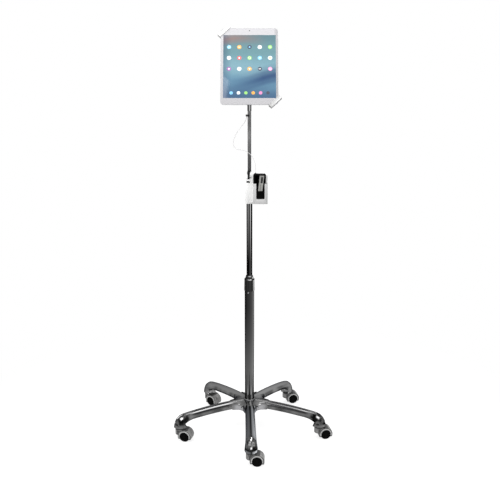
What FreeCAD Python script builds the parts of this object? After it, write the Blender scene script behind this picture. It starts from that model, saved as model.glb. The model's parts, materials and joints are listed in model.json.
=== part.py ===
import FreeCAD, Part
import math
import os
from FreeCAD import Placement, Rotation, Vector

# Tablet holder: a floor stand with a star base on twin-wheel casters, a
# telescoping column with a twist lock, a flexible neck and a tilting head
# whose two corner jaws hold a tablet. A holster with a hand scanner is
# clamped to the upper tube. Millimetres, +Z up, origin on the floor under
# the column, the tablet faces -Y.

# Running clearance of a turned pair, and the air between parts that only pass.
RUN = 0.05
AIR = 0.3
DRILL_PAST = 20.0

# Column
LOWER_TUBE_R = 15.875
LOWER_TUBE_WALL = 1.5
LOWER_TUBE_TOP = 512.0
UPPER_TUBE_R = 9.525
UPPER_TUBE_WALL = 1.5
UPPER_TUBE_LENGTH = 486.0
UPPER_TUBE_DRAWN = 359.0
UPPER_TUBE_TOP = LOWER_TUBE_TOP + UPPER_TUBE_DRAWN
UPPER_TUBE_BOTTOM = UPPER_TUBE_TOP - UPPER_TUBE_LENGTH
LOWER_TUBE_BORE = LOWER_TUBE_R - LOWER_TUBE_WALL
UPPER_TUBE_BORE = UPPER_TUBE_R - UPPER_TUBE_WALL

# Star base
LEG_COUNT = 5
LEG_YAW = 1.3
SWIVEL_CIRCLE_R = 246.0
HUB_R = 44.0
HUB_TOP = 104.0
HUB_UNDERSIDE = 84.0
HUB_BOSS_R = 20.0
HUB_BOSS_BOTTOM = 65.0
WEB_HALF = 16.4
WEB_CROTCH_R = 34.4
WEB_TOP = 98.0
LEG_ROOT_R = 20.0
LEG_TOP_AT_HUB = 112.0
LEG_ARCH_DROP = 17.5
LEG_THICK_AT_HUB = 27.0
LEG_THICK_AT_ELBOW = 25.0
LEG_WIDTH = 33.0
LEG_END_WIDTH = 43.0
ELBOW_START_R = 208.0
LEG_END_BOTTOM = 45.5
HUB_BOLT_R = 6.0
HUB_BOLT_HEAD_R = 11.0
HUB_BOLT_HEAD_H = 8.0
FOOT_NUT_H = 24.0

# Casters: where each stands on the base, and the way it trails, in degrees
CASTERS = {
    "front": (270.0, -2.0),
    "front_left": (198.0, -15.0),
    "front_right": (342.0, 10.0),
    "back_left": (126.0, -36.0),
    "back_right": (54.0, 12.0),
}
WHEEL_R = 18.0
WHEEL_WIDTH = 16.0
CASTER_TRAIL = 19.0
CASTER_WEB = 6.0
CASTER_STEM_R = 5.0
CASTER_STEM_BOTTOM = 33.0
CASTER_AXLE_R = 2.0
CASTER_SIDES = 24
SWIVEL_BOSS_R = 17.0
SWIVEL_BOSS_BOTTOM = 21.0
SWIVEL_BOSS_TOP = 43.0
HOOD_R = 23.5
HOOD_LOWER_EDGE = 9.0
WHEEL_GAP = 0.5
WHEEL_SIDE_GAP = 0.3

# Twist lock
COLLAR_SKIRT = 13.0
COLLAR_H = 40.0
COLLAR_R = 17.1
COLLAR_BOTTOM = LOWER_TUBE_TOP - COLLAR_SKIRT
COLLAR_TOP = COLLAR_BOTTOM + COLLAR_H
NOSE_H = 12.0
NOSE_BOTTOM_R = 14.8
NOSE_TOP_R = 10.9
NOSE_SIDES = 36
NOSE_TOP = COLLAR_TOP + NOSE_H
COLLET_DEPTH = 40.0
COLLET_UNDER_NOSE = 3.0
COLLET_FINGER = 18.0
COLLET_BOTTOM = LOWER_TUBE_TOP - COLLET_DEPTH
COLLET_TOP = COLLAR_TOP - COLLET_UNDER_NOSE
COLLET_SLOTS = 4
COLLET_SLOT = 1.6
LOCK_SCREW_DROP = 5.0
LOCK_SCREW_Z = COLLAR_BOTTOM - LOCK_SCREW_DROP
LOCK_SCREW_R = 2.2
LOCK_SCREW_SHANK_R = 1.25
LOCK_SCREW_HEAD_H = 1.2
LOCK_SCREW_FROM_FRONT = 14.6
BUSH_H = 26.0
TUBE_LIP_H = 2.0
TUBE_LIP_R = 12.0
TUBE_CAP_R = 11.3
TUBE_CAP_H = 6.0

# Neck, from the socket in the tube to the ferrule under the head
NECK_R = 5.75
NECK_SIDES = 16
NECK_FITTING_H = 26.0
NECK_LENGTH = 188.0
NECK_BOTTOM = UPPER_TUBE_TOP + NECK_FITTING_H
NECK_TOP = NECK_BOTTOM + NECK_LENGTH
NECK_LINKS = 7
NECK_BEND = 18.75
NECK_SPARE = 1.0
NECK_SOCKET_R = 6.0
NECK_SOCKET_DEPTH = 28.0
NECK_NUT_R = 7.6
NECK_NUT_H = 7.0

# Head, in its own upright frame: the origin is the tilt pin, and the tablet
# stands in front of it, before everything is leaned back by HEAD_LEAN
HEAD_LEAN = 27.2
FERRULE_R = 6.5
FERRULE_H = 19.0
STEM_R = 9.0
STEM_H = 66.0
EYE_OVER_STEM = 23.0
STEM_FROM = NECK_TOP + FERRULE_H
STEM_TOP = STEM_FROM + STEM_H
PIVOT = Vector(0, 0, STEM_TOP + EYE_OVER_STEM)
TONGUE_HALF = 4.3
TONGUE_R = 8.0
EAR_THICK = 5.4
EAR_REACH = 20.0
EAR_HALF_H = 8.0
SWIVEL_FACE_R = 17.0
SWIVEL_FACE_H = 6.0
TILT_PIN_R = 3.0
TILT_HEAD_R = 5.5
TILT_HEAD_H = 3.0
KNOB_HUB_R = 6.5
KNOB_HUB_H = 8.0
KNOB_WING = 28.0
KNOB_WING_T = 5.0
KNOB_WING_H = 9.0
SWIVEL_BOLT_R = 4.0
SWIVEL_BOLT_HEAD_R = 7.0
SWIVEL_BOLT_HEAD_H = 3.0

# Tablet
TABLET_W = 174.1
TABLET_H = 250.6
TABLET_T = 6.1
TABLET_CORNER_R = 11.0
TABLET_FRONT = 63.8
GLASS_T = 0.8
GLASS_RIM = 0.8

# Jaws, whose straps cross the tablet's corners at 45 degrees, and the bar along its diagonal
JAW_STRAP_W = 11.5
JAW_FROM_CORNER = 8.0
JAW_TURN = 45.0
JAW_SHEET = 2.0
JAW_SIDE_GAP = 0.6
JAW_FACE_GAP = 0.4
JAW_BACK_REACH = 45.0
BAR_W = 22.0
BAR_T = 8.0
BAR_GAP = 0.5
BAR_TO_JAW = 7.5
BAR_CORE_WALL = 3.0
TONGUE_W = 12.0
TONGUE_T = 3.0
TONGUE_PLAY = 0.15
TONGUE_LAP = 2.0
TONGUE_JOGGLE = 8.0
TONGUE_END_GAP = 7.5
LOWER_TONGUE = 30.0
JAW_SCREW_AT = 62.0
JAW_SCREW_R = 2.5
JAW_SCREW_HUB_R = 4.5
JAW_SCREW_HUB_H = 4.0
JAW_SCREW_WING = 18.0
JAW_SCREW_WING_T = 3.5
JAW_SCREW_WING_H = 6.0

# Holster
CLAMP_R = 12.5
CLAMP_H = 67.0
CLAMP_BELOW_MOUTH = 12.0
CLAMP_TOP = UPPER_TUBE_TOP - CLAMP_BELOW_MOUTH
CLAMP_BOTTOM = CLAMP_TOP - CLAMP_H
CLAMP_PAD_W = 15.0
CLAMP_EAR = 9.0
CLAMP_EAR_T = 4.0
CLAMP_SPLIT = 1.6
CLAMP_SCREW_R = 2.0
CLAMP_SCREW_HEAD_R = 3.5
CLAMP_SCREW_HEAD_H = 4.0
CLAMP_SCREW_INSET = 12.0
HOLSTER_SHEET = 1.5
PLATE_LEFT = 1.4
PLATE_H = 101.0
PLATE_CORNER_R = 8.0
PLATE_SLOT_X = 5.2
PLATE_SLOT_UP = 81.0
PLATE_SLOT_W = 2.8
PLATE_SLOT_H = 7.5
POCKET_LEFT = 11.9
POCKET_RIGHT = 57.7
POCKET_OVER_CLAMP = 4.0
POCKET_H = 65.0
POCKET_BOTTOM = CLAMP_BOTTOM + POCKET_OVER_CLAMP
POCKET_TOP = POCKET_BOTTOM + POCKET_H
PLATE_TOP = POCKET_BOTTOM + PLATE_H
PLATE_SLOT_Z = POCKET_BOTTOM + PLATE_SLOT_UP
POCKET_DEPTH = 24.0
POCKET_U_W = 26.8
POCKET_U_UP = 15.5
POCKET_U_R = 4.0

# Scanner
SCANNER_LEFT = POCKET_LEFT + HOLSTER_SHEET + 1.0
SCANNER_W = 38.0
SCANNER_T = 19.6
SCANNER_H = 95.5
SCANNER_TOP = POCKET_BOTTOM + SCANNER_H
SCANNER_EDGE_R = 6.0
INSERT_PROUD = 0.7
INSERT_SEAT = 0.8
# Height over the pocket's floor, middle and width of the insert
INSERT_WAIST = ((41.3, 34.4, 14.3), (56.0, 36.0, 13.6), (74.0, 38.5, 14.6), (90.0, 39.2, 18.0))
BUTTON_X = 39.3
BUTTON_UP = 76.0
BUTTON_DEEP = 4.0
BUTTON_Z = POCKET_BOTTOM + BUTTON_UP
BUTTON_W = 5.6
BUTTON_H = 20.0
BUTTON_PROUD = 1.2
BUTTON_LEAN = 5.5
EYELET_R = 2.0
EYELET_H = 2.5
EYELET_X = 19.3

# Tether cord: hand-chosen route from the clip on the neck to the scanner, heights over the tube's mouth
CORD_R = 0.8
CORD_CLIP_DROP = 14.0
CORD_CLIP_Z = NECK_TOP - CORD_CLIP_DROP
CORD_CLIP_H = 6.0
CORD_CLIP_WALL = 1.2
CORD_CLIP_LUG = 4.5
CORD_EXIT_X = -9.4
CORD_EYELET_Y = -24.0
CORD_ROUTE = (
    (-9.4, 0, 190.0),
    (-14.5, -1, 180.0),
    (-24.0, -2, 168.0),
    (-36.0, -3, 153.0),
    (-46.5, -4, 135.0),
    (-52.0, -5, 116.0),
    (-48.5, -6, 102.0),
    (-38.0, -7, 95.5),
    (-24.0, -8, 94.0),
    (-10.0, -9, 90.0),
    (1.0, -10, 82.0),
    (10.0, -13, 72.0),
    (16.0, -17, 60.0),
    (19.0, -21, 47.0),
    (19.3, -24, 34.0),
)


def save(name, shape):
    """Write one piece to its own file, with a line that tells its size."""
    solids = len(shape.Solids)
    if not shape.isValid() or not solids:
        raise RuntimeError(f"{name} is not a valid solid")
    shape.exportStep(f"parts/{name}.step")
    b = shape.BoundBox
    print(f"{name}: {solids} solid(s), z {b.ZMin:.1f} to {b.ZMax:.1f}, {shape.Volume / 1000:.2f} cm3")


def cylinder(radius, z0, z1, x=0.0, y=0.0):
    return Part.makeCylinder(radius, z1 - z0, Vector(x, y, z0))


def tube(outer, inner, z0, z1):
    return cylinder(outer, z0, z1).cut(cylinder(inner, z0 - 1, z1 + 1))


def box(x0, x1, y0, y1, z0, z1):
    return Part.makeBox(x1 - x0, y1 - y0, z1 - z0, Vector(x0, y0, z0))


def rod(radius, start, end):
    """A cylinder between two points."""
    along = end - start
    return Part.makeCylinder(radius, along.Length, start, along)


def prism(radius, start, end, sides):
    """A many-sided bar between two points, its corners at the radius."""
    along = end - start
    corners = [Vector(radius * math.cos(math.tau * i / sides), radius * math.sin(math.tau * i / sides), 0)
               for i in range(sides + 1)]
    bar = Part.Face(Part.makePolygon(corners)).extrude(Vector(0, 0, along.Length))
    return placed(bar, Placement(start, Rotation(Vector(0, 0, 1), along)))


def across_flats(radius, sides):
    """Radius of the corners of a polygon whose flats touch a circle."""
    return radius / math.cos(math.pi / sides)


def turned(outline):
    """A solid turned about Z from (radius, z) points."""
    points = [Vector(r, 0, z) for r, z in outline]
    face = Part.Face(Part.makePolygon(points + points[:1]))
    return face.revolve(Vector(0, 0, 0), Vector(0, 0, 1), 360)


def rounded_box(x0, x1, y0, y1, z0, z1, radius, direction):
    """A box whose edges along one direction are rounded."""
    block = box(x0, x1, y0, y1, z0, z1)
    edges = [e for e in block.Edges if abs(e.tangentAt(e.FirstParameter).dot(direction)) > 0.99]
    return block.makeFillet(radius, edges)


def turn_about_z(shape, degrees):
    out = shape.copy()
    out.rotate(Vector(0, 0, 0), Vector(0, 0, 1), degrees)
    return out


def caster_place(stand, trail):
    """Where a caster's own frame lies: its swivel axis, turned to its trail."""
    angle = math.radians(stand + LEG_YAW)
    spot = Vector(SWIVEL_CIRCLE_R * math.cos(angle), SWIVEL_CIRCLE_R * math.sin(angle), 0)
    return Placement(spot, Rotation(Vector(0, 0, 1), trail))


def placed(shape, placement):
    out = shape.copy()
    out.Placement = placement.multiply(out.Placement)
    return out


def head_place(shape):
    """Lean a piece of the upright head back about the tilt pin, at the pivot."""
    lean = Placement(PIVOT, Rotation(Vector(1, 0, 0), -HEAD_LEAN))
    return placed(shape, lean)


# Star base


def leg_section(foot, crown, width):
    """One closed section of a leg: a crease on top, stepped shoulders and a flat underside."""
    up = crown - foot
    half = [(0, 1), (0.25, 0.91), (0.43, 0.68), (0.5, 0.40), (0.38, 0)]
    outline = half + [(-across, height) for across, height in reversed(half[1:])]
    points = [foot + up * height + Vector(0, across * width, 0) for across, height in outline]
    return Part.makePolygon(points + points[:1])


def leg_arm():
    """The arched arm along +X, from inside the hub to where the elbow starts."""
    sections = []
    for share in (0.0, 0.35, 0.7, 1.0):
        r = LEG_ROOT_R + (ELBOW_START_R - LEG_ROOT_R) * share
        crown = LEG_TOP_AT_HUB - LEG_ARCH_DROP * share**1.8
        thick = LEG_THICK_AT_HUB + (LEG_THICK_AT_ELBOW - LEG_THICK_AT_HUB) * share
        width = LEG_WIDTH + 2.0 * share**4
        sections.append(leg_section(Vector(r, 0, crown - thick), Vector(r, 0, crown), width))
    return sections


def leg_elbow():
    """Sections that turn down round the elbow into the drop-shaped end."""
    centre = Vector(SWIVEL_CIRCLE_R - LEG_END_WIDTH / 2 - 3, 0, LEG_END_BOTTOM)
    start_crown = LEG_TOP_AT_HUB - LEG_ARCH_DROP
    reach_out = SWIVEL_CIRCLE_R + LEG_END_WIDTH / 2 + 1 - centre.x
    reach_up = start_crown - centre.z
    sections = []
    for degrees in (66.0, 42.0, 20.0, 0.0):
        a = math.radians(degrees)
        crown = centre + Vector(reach_out * math.cos(a), 0, reach_up * 0.94 * math.sin(a))
        inner = 4.0 + 13.0 * math.sin(a)
        foot = centre + Vector(inner * math.cos(a), 0, inner * math.sin(a))
        width = LEG_END_WIDTH - (LEG_END_WIDTH - LEG_WIDTH - 3) * math.sin(a) ** 2
        sections.append(leg_section(foot, crown, width))
    return sections


def leg():
    """One arm with its elbow, and the pin under its end that the caster turns on."""
    arm = leg_arm()
    straight = Part.makeLoft(arm, True, False)
    elbow = Part.makeLoft(arm[-1:] + leg_elbow(), True, True)
    pin = cylinder(CASTER_STEM_R, CASTER_STEM_BOTTOM, LEG_END_BOTTOM + 5, SWIVEL_CIRCLE_R)
    return straight.fuse(elbow).fuse(pin)


def star_web():
    """Web between the legs round the column, its crotches rounded; one leg lies along +X."""
    half_gap = math.pi / LEG_COUNT
    reach = (WEB_HALF + WEB_CROTCH_R) / math.sin(half_gap)
    sweep = math.pi / 2 - half_gap
    edges, last = [], None
    for i in range(LEG_COUNT):
        middle = half_gap * (2 * i + 1)
        centre = Vector(reach * math.cos(middle), reach * math.sin(middle), HUB_UNDERSIDE)
        start, nearest, end = [
            centre - Vector(WEB_CROTCH_R * math.cos(middle + turn), WEB_CROTCH_R * math.sin(middle + turn), 0)
            for turn in (sweep, 0, -sweep)
        ]
        if last:
            edges.append(Part.makeLine(last, start))
        edges.append(Part.Arc(start, nearest, end).toShape())
        last = end
    edges.append(Part.makeLine(last, edges[0].Vertexes[0].Point))
    return Part.Face(Part.Wire(edges)).extrude(Vector(0, 0, WEB_TOP - HUB_UNDERSIDE))


def star_base():
    solid = cylinder(HUB_R, HUB_UNDERSIDE, HUB_TOP).fuse(cylinder(HUB_BOSS_R, HUB_BOSS_BOTTOM, HUB_UNDERSIDE + 1))
    solid = solid.fuse(turn_about_z(star_web(), CASTERS["front"][0] + LEG_YAW))
    arm = leg()
    for stand, _ in CASTERS.values():
        solid = solid.fuse(turn_about_z(arm, stand + LEG_YAW))
    solid = solid.cut(cylinder(LOWER_TUBE_R, HUB_UNDERSIDE, LEG_TOP_AT_HUB + 1))
    solid = solid.cut(cylinder(HUB_BOLT_R, HUB_BOSS_BOTTOM - 1, HUB_UNDERSIDE + 1))
    return solid.removeSplitter()


def hexagon(radius, z0, z1):
    """A six-sided prism about Z, its corners at the radius."""
    corners = [Vector(radius * math.cos(math.radians(60 * i)), radius * math.sin(math.radians(60 * i)), z0)
               for i in range(7)]
    return Part.Face(Part.makePolygon(corners)).extrude(Vector(0, 0, z1 - z0))


def foot_nut():
    """Six-sided nut in the tube's foot that takes the hub bolt."""
    nut = hexagon(LOWER_TUBE_BORE, HUB_UNDERSIDE, HUB_UNDERSIDE + FOOT_NUT_H)
    return nut.cut(cylinder(HUB_BOLT_R, HUB_UNDERSIDE - 1, HUB_UNDERSIDE + FOOT_NUT_H + 1))


def hub_bolt():
    """Bolt that draws the column down onto the hub."""
    head = hexagon(HUB_BOLT_HEAD_R, HUB_BOSS_BOTTOM - HUB_BOLT_HEAD_H, HUB_BOSS_BOTTOM)
    shank = cylinder(HUB_BOLT_R, HUB_BOSS_BOTTOM - 1, HUB_UNDERSIDE + FOOT_NUT_H - 4)
    return head.fuse(shank)


# Casters, in a frame whose Z is the swivel axis and whose +X is the trail


def on_axle(y):
    return Vector(CASTER_TRAIL, y, WHEEL_R)


def axle_prism(radius, y0, y1):
    """A many-sided bar about the wheels' axle: five casters repeat it, so its sides are few."""
    return prism(radius, on_axle(y0), on_axle(y1), CASTER_SIDES)


def half_width():
    return CASTER_WEB / 2 + WHEEL_SIDE_GAP + WHEEL_WIDTH


def caster_hood():
    """Hood over both wheels, with the web between them and the boss that turns on the leg's pin."""
    side = half_width()
    boss = prism(SWIVEL_BOSS_R, Vector(0, 0, SWIVEL_BOSS_BOTTOM), Vector(0, 0, SWIVEL_BOSS_TOP), CASTER_SIDES)
    hood = axle_prism(HOOD_R, -side, side).fuse(boss)
    room = across_flats(WHEEL_R + WHEEL_GAP, CASTER_SIDES)
    for sign in (-1, 1):
        hood = hood.cut(axle_prism(room, sign * CASTER_WEB / 2, sign * (side + 1)))
    reach = CASTER_TRAIL + 2 * HOOD_R
    hood = hood.cut(box(-reach, reach, -reach, reach, -reach, HOOD_LOWER_EDGE))
    hood = hood.cut(cylinder(CASTER_STEM_R + RUN, CASTER_STEM_BOTTOM - AIR, SWIVEL_BOSS_TOP + 1))
    return hood.cut(rod(CASTER_AXLE_R + RUN, on_axle(-side), on_axle(side)))


def caster_wheels():
    """The two wheels, pressed on one axle."""
    inner = CASTER_WEB / 2 + WHEEL_SIDE_GAP
    axle = rod(CASTER_AXLE_R, on_axle(-inner), on_axle(inner))
    return axle.fuse([axle_prism(WHEEL_R, inner, half_width()), axle_prism(WHEEL_R, -half_width(), -inner)])


# Column and twist lock


def column_lower():
    pipe = tube(LOWER_TUBE_R, LOWER_TUBE_BORE, HUB_UNDERSIDE, LOWER_TUBE_TOP)
    return pipe.cut(lock_screw_hole())


def lock_screw_hole():
    return lock_screw_rod(LOCK_SCREW_SHANK_R, LOWER_TUBE_BORE - 2, LOWER_TUBE_R + 1)


def lock_collet():
    """Collet pressed into the lower tube, its slotted fingers round the upper tube."""
    solid = tube(LOWER_TUBE_BORE, UPPER_TUBE_R + 1.5 * RUN, COLLET_BOTTOM, COLLET_TOP).cut(lock_screw_hole())
    reach = LOWER_TUBE_R
    fingers_from = COLLET_TOP - COLLET_FINGER
    for i in range(COLLET_SLOTS // 2):
        slot = box(-reach, reach, -COLLET_SLOT / 2, COLLET_SLOT / 2, fingers_from, COLLET_TOP + 1)
        solid = solid.cut(turn_about_z(slot, 45 + 360 / COLLET_SLOTS * i))
    return solid


def lock_collar():
    """Outer twist collar with its tapered nose."""
    body = cylinder(COLLAR_R, COLLAR_BOTTOM, COLLAR_TOP)
    rings = []
    for radius, z in ((NOSE_BOTTOM_R, COLLAR_TOP), (NOSE_TOP_R, NOSE_TOP)):
        turns = [math.tau * i / NOSE_SIDES for i in range(NOSE_SIDES + 1)]
        rings.append(Part.makePolygon([Vector(radius * math.cos(a), radius * math.sin(a), z) for a in turns]))
    body = body.fuse(Part.makeLoft(rings, True, True))
    body = body.cut(cylinder(LOWER_TUBE_R + AIR, COLLAR_BOTTOM - 1, LOWER_TUBE_TOP + AIR))
    body = body.cut(cylinder(LOWER_TUBE_BORE + AIR, LOWER_TUBE_TOP, COLLET_TOP + AIR))
    return body.cut(cylinder(UPPER_TUBE_R + AIR, COLLET_TOP, NOSE_TOP + 1))


def lock_screw_rod(radius, inner, outer):
    """A rod across the tube's wall, just under the collar and left of the front."""
    spoke = rod(radius, Vector(0, -inner, LOCK_SCREW_Z), Vector(0, -outer, LOCK_SCREW_Z))
    return turn_about_z(spoke, -LOCK_SCREW_FROM_FRONT)


def lock_screw():
    """Screw that keeps the collet in the tube."""
    shank = lock_screw_rod(LOCK_SCREW_SHANK_R, LOWER_TUBE_BORE - 2, LOWER_TUBE_R + 0.5)
    head = lock_screw_rod(LOCK_SCREW_R, LOWER_TUBE_BORE, LOWER_TUBE_R + LOCK_SCREW_HEAD_H)
    return shank.fuse(head.cut(cylinder(LOWER_TUBE_R, LOCK_SCREW_Z - 5, LOCK_SCREW_Z + 5)))


def column_upper():
    """Upper tube with a rolled lip at its foot and a cap ring on its mouth."""
    pipe = tube(UPPER_TUBE_R, UPPER_TUBE_BORE, UPPER_TUBE_BOTTOM, UPPER_TUBE_TOP)
    lip = tube(TUBE_LIP_R, UPPER_TUBE_BORE, UPPER_TUBE_BOTTOM, UPPER_TUBE_BOTTOM + TUBE_LIP_H)
    cap = tube(TUBE_CAP_R, UPPER_TUBE_BORE, UPPER_TUBE_TOP - TUBE_CAP_H, UPPER_TUBE_TOP)
    return pipe.fuse([lip, cap]).removeSplitter()


def guide_bush():
    start = UPPER_TUBE_BOTTOM + TUBE_LIP_H + AIR
    return tube(LOWER_TUBE_BORE - RUN, UPPER_TUBE_R + RUN, start, start + BUSH_H)


# Neck


def hinge_height(k):
    """Height of hinge k of the neck; even ones bend it forward, odd ones sideways."""
    return NECK_BOTTOM + (NECK_TOP - NECK_BOTTOM) * k / NECK_LINKS


def rocker(k):
    """The two wedges to cut from under hinge k, so that a ridge along its axis rocks on the piece below."""
    slope = math.tan(math.radians(NECK_BEND + NECK_SPARE))
    reach = NECK_NUT_R * 2
    z = hinge_height(k)
    wedges = []
    for sign in (-1, 1):
        corners = [Vector(-reach, 0, z), Vector(-reach, sign * reach, z), Vector(-reach, sign * reach, z + reach * slope)]
        wedge = Part.Face(Part.makePolygon(corners + corners[:1])).extrude(Vector(2 * reach, 0, 0))
        wedges.append(turn_about_z(wedge, 0 if k % 2 == 0 else 90))
    return wedges


def neck_link(k):
    """Link k of the neck, from hinge k to hinge k + 1."""
    link = prism(NECK_R, Vector(0, 0, hinge_height(k)), Vector(0, 0, hinge_height(k + 1)), NECK_SIDES)
    return link.cut(rocker(k))


def neck_socket():
    """Turned fitting in the tube's mouth, with the nut that ends the neck."""
    plug = cylinder(UPPER_TUBE_BORE, UPPER_TUBE_TOP - NECK_SOCKET_DEPTH, UPPER_TUBE_TOP)
    shaft = cylinder(NECK_SOCKET_R, UPPER_TUBE_TOP, NECK_BOTTOM - NECK_NUT_H)
    nut = hexagon(NECK_NUT_R, NECK_BOTTOM - NECK_NUT_H, NECK_BOTTOM)
    return plug.fuse([shaft, nut])


def head_stem():
    """Ferrule on the neck's end and the stem with the head's eye."""
    ferrule = cylinder(FERRULE_R, NECK_TOP, STEM_FROM)
    stem = cylinder(STEM_R, STEM_FROM, STEM_TOP)
    tongue = box(-TONGUE_HALF, TONGUE_HALF, -TONGUE_R, TONGUE_R, STEM_TOP, PIVOT.z)
    eye = rod(TONGUE_R, PIVOT - Vector(TONGUE_HALF, 0, 0), PIVOT + Vector(TONGUE_HALF, 0, 0))
    hole = rod(TILT_PIN_R + RUN, PIVOT - Vector(DRILL_PAST, 0, 0), PIVOT + Vector(DRILL_PAST, 0, 0))
    return ferrule.cut(rocker(NECK_LINKS)).fuse([stem, tongue, eye]).cut(hole).removeSplitter()


# Head, upright about the tilt pin


def bar_back():
    """Depth of the bar's rear face, negative towards the tablet."""
    return -(TABLET_FRONT - TABLET_T) + BAR_GAP + BAR_T


def ear_face():
    """Outer face of the fork's ears, from the middle."""
    return TONGUE_HALF + AIR + EAR_THICK


def swivel_depth():
    return SWIVEL_FACE_H + 8


def tilt_block():
    """Fork round the stem's eye, with the face that the holder turns on."""
    out, face_y = ear_face(), bar_back() + AIR
    fork = box(-out, out, face_y, 0, -EAR_HALF_H, EAR_HALF_H).fuse(rod(EAR_HALF_H, Vector(-out, 0, 0), Vector(out, 0, 0)))
    slot = TONGUE_HALF + AIR
    fork = fork.cut(box(-slot, slot, -EAR_REACH, EAR_HALF_H + 1, -EAR_HALF_H - 1, EAR_HALF_H + 1))
    fork = fork.cut(rod(TILT_PIN_R, Vector(-DRILL_PAST, 0, 0), Vector(DRILL_PAST, 0, 0)))
    face = rod(SWIVEL_FACE_R, Vector(0, face_y, 0), Vector(0, face_y + SWIVEL_FACE_H, 0))
    bore = rod(SWIVEL_BOLT_R + RUN, Vector(0, face_y - 1, 0), Vector(0, face_y + swivel_depth() + AIR, 0))
    return fork.fuse(face).cut(bore).removeSplitter()


def across(piece):
    """Lay a piece that stands on +Z along +X."""
    return placed(piece, Placement(Vector(0, 0, 0), Rotation(Vector(0, 1, 0), 90)))


def tilt_pin():
    pin = cylinder(TILT_PIN_R, -ear_face(), ear_face() + KNOB_HUB_H - 1.5)
    return across(pin.fuse(hexagon(TILT_HEAD_R, -ear_face() - TILT_HEAD_H, -ear_face())))


def wing_knob(hub_r, hub_h, wing, wing_t, wing_h):
    """A hub standing on Z with a wing across its top."""
    hub = cylinder(hub_r, 0, hub_h)
    return hub.fuse(box(-wing / 2, wing / 2, -wing_t / 2, wing_t / 2, hub_h, hub_h + wing_h))


def tilt_knob():
    knob = wing_knob(KNOB_HUB_R, KNOB_HUB_H, KNOB_WING, KNOB_WING_T, KNOB_WING_H)
    knob = across(knob.cut(cylinder(TILT_PIN_R + RUN, -1, KNOB_HUB_H - 1)))
    return placed(knob, Placement(Vector(ear_face() + AIR, 0, 0), Rotation()))


def diagonal_place(shape):
    """Lay a piece whose +Z runs outward along the diagonal to the upper left corner."""
    lean = math.degrees(math.atan2(TABLET_W / 2, TABLET_H / 2))
    return placed(shape, Placement(Vector(0, 0, 0), Rotation(Vector(0, 1, 0), -lean)))


def diagonal_half():
    return math.hypot(TABLET_W, TABLET_H) / 2


def jaw_root():
    """Place along the diagonal where a jaw's back plate passes into its tongue."""
    return diagonal_half() - JAW_BACK_REACH


def bar_half():
    """Half the bar's length, which ends just short of the jaws."""
    return jaw_root() - TONGUE_LAP - BAR_TO_JAW


def bar_core():
    """Half of the bar's solid middle, round the bolt's head."""
    return SWIVEL_BOLT_HEAD_R + BAR_CORE_WALL


def tongue_back():
    """Depth of the jaws' tongues at their rear face, inside the bar."""
    return bar_back() - (BAR_T - TONGUE_T) / 2


def holder_bar():
    """Bar behind the tablet, hollow along its length for the two tongues."""
    back, front, half = bar_back(), bar_back() - BAR_T, bar_half()
    body = box(-BAR_W / 2, BAR_W / 2, front, back, -half, half)
    w, t0, t1 = TONGUE_W / 2 + TONGUE_PLAY, tongue_back() - TONGUE_T - TONGUE_PLAY, tongue_back() + TONGUE_PLAY
    body = body.cut(box(-w, w, t0, t1, bar_core(), half + 1))
    low = half - LOWER_TONGUE
    body = body.cut(box(-TONGUE_W / 2, TONGUE_W / 2, tongue_back() - TONGUE_T, tongue_back(), -half - 1, -low))
    body = body.cut(swivel_bolt())
    screw = Vector(0, back, JAW_SCREW_AT)
    return body.cut(rod(JAW_SCREW_R + RUN, screw - Vector(0, BAR_T / 2, 0), screw + Vector(0, 1, 0)))


def swivel_bolt():
    """Bolt sunk into the bar's front, that the holder turns on."""
    back, front = bar_back(), bar_back() - BAR_T
    bolt = hexagon(SWIVEL_BOLT_HEAD_R, 0, SWIVEL_BOLT_HEAD_H)
    bolt = bolt.fuse(cylinder(SWIVEL_BOLT_R, SWIVEL_BOLT_HEAD_H, back - front + swivel_depth()))
    return placed(bolt, Placement(Vector(0, front, 0), Rotation(Vector(1, 0, 0), -90)))


def jaw(tongue_length):
    """Corner jaw in a frame whose +Z runs outward along the diagonal and whose +X is across it.

    A strap crosses the front of the tablet's corner. Its two ends bend back past the
    tablet's edges to a plate behind it, and the plate carries the tongue.
    """
    corner = diagonal_half()
    inner, outer = -JAW_FROM_CORNER - JAW_STRAP_W, -JAW_FROM_CORNER
    side = -inner * math.tan(math.radians(JAW_TURN)) + JAW_SIDE_GAP
    out = side + JAW_SHEET
    front = -TABLET_FRONT - JAW_FACE_GAP - JAW_SHEET
    plate_front = bar_back() - BAR_T
    shell = box(-out, out, front, plate_front + JAW_SHEET, inner, outer)
    shell = shell.cut(box(-side, side, front + JAW_SHEET, plate_front, inner - 1, outer + 1))
    lean = math.degrees(math.atan2(TABLET_W, TABLET_H))
    at_corner = Placement(Vector(0, 0, corner), Rotation(Vector(0, 1, 0), lean - JAW_TURN))
    root, w = jaw_root(), TONGUE_W / 2
    outline = [at_corner.multVec(Vector(x, plate_front, z)) for x, z in ((-out, inner), (-out, outer), (out, outer), (out, inner))]
    outline += [Vector(w, plate_front, root), Vector(-w, plate_front, root)]
    plate = Part.Face(Part.makePolygon(outline + outline[:1])).extrude(Vector(0, JAW_SHEET, 0))
    joggle = box(-w, w, plate_front, tongue_back(), root - TONGUE_LAP, root + TONGUE_JOGGLE)
    tongue = box(-w, w, tongue_back() - TONGUE_T, tongue_back(), root - tongue_length, root)
    return placed(shell, at_corner).fuse([plate, joggle, tongue]).removeSplitter()


def upper_jaw():
    return jaw(jaw_root() - bar_core() - TONGUE_END_GAP)


def lower_jaw():
    piece = jaw(LOWER_TONGUE + jaw_root() - bar_half())
    piece.rotate(Vector(0, 0, 0), Vector(0, 1, 0), 180)
    return piece


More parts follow.
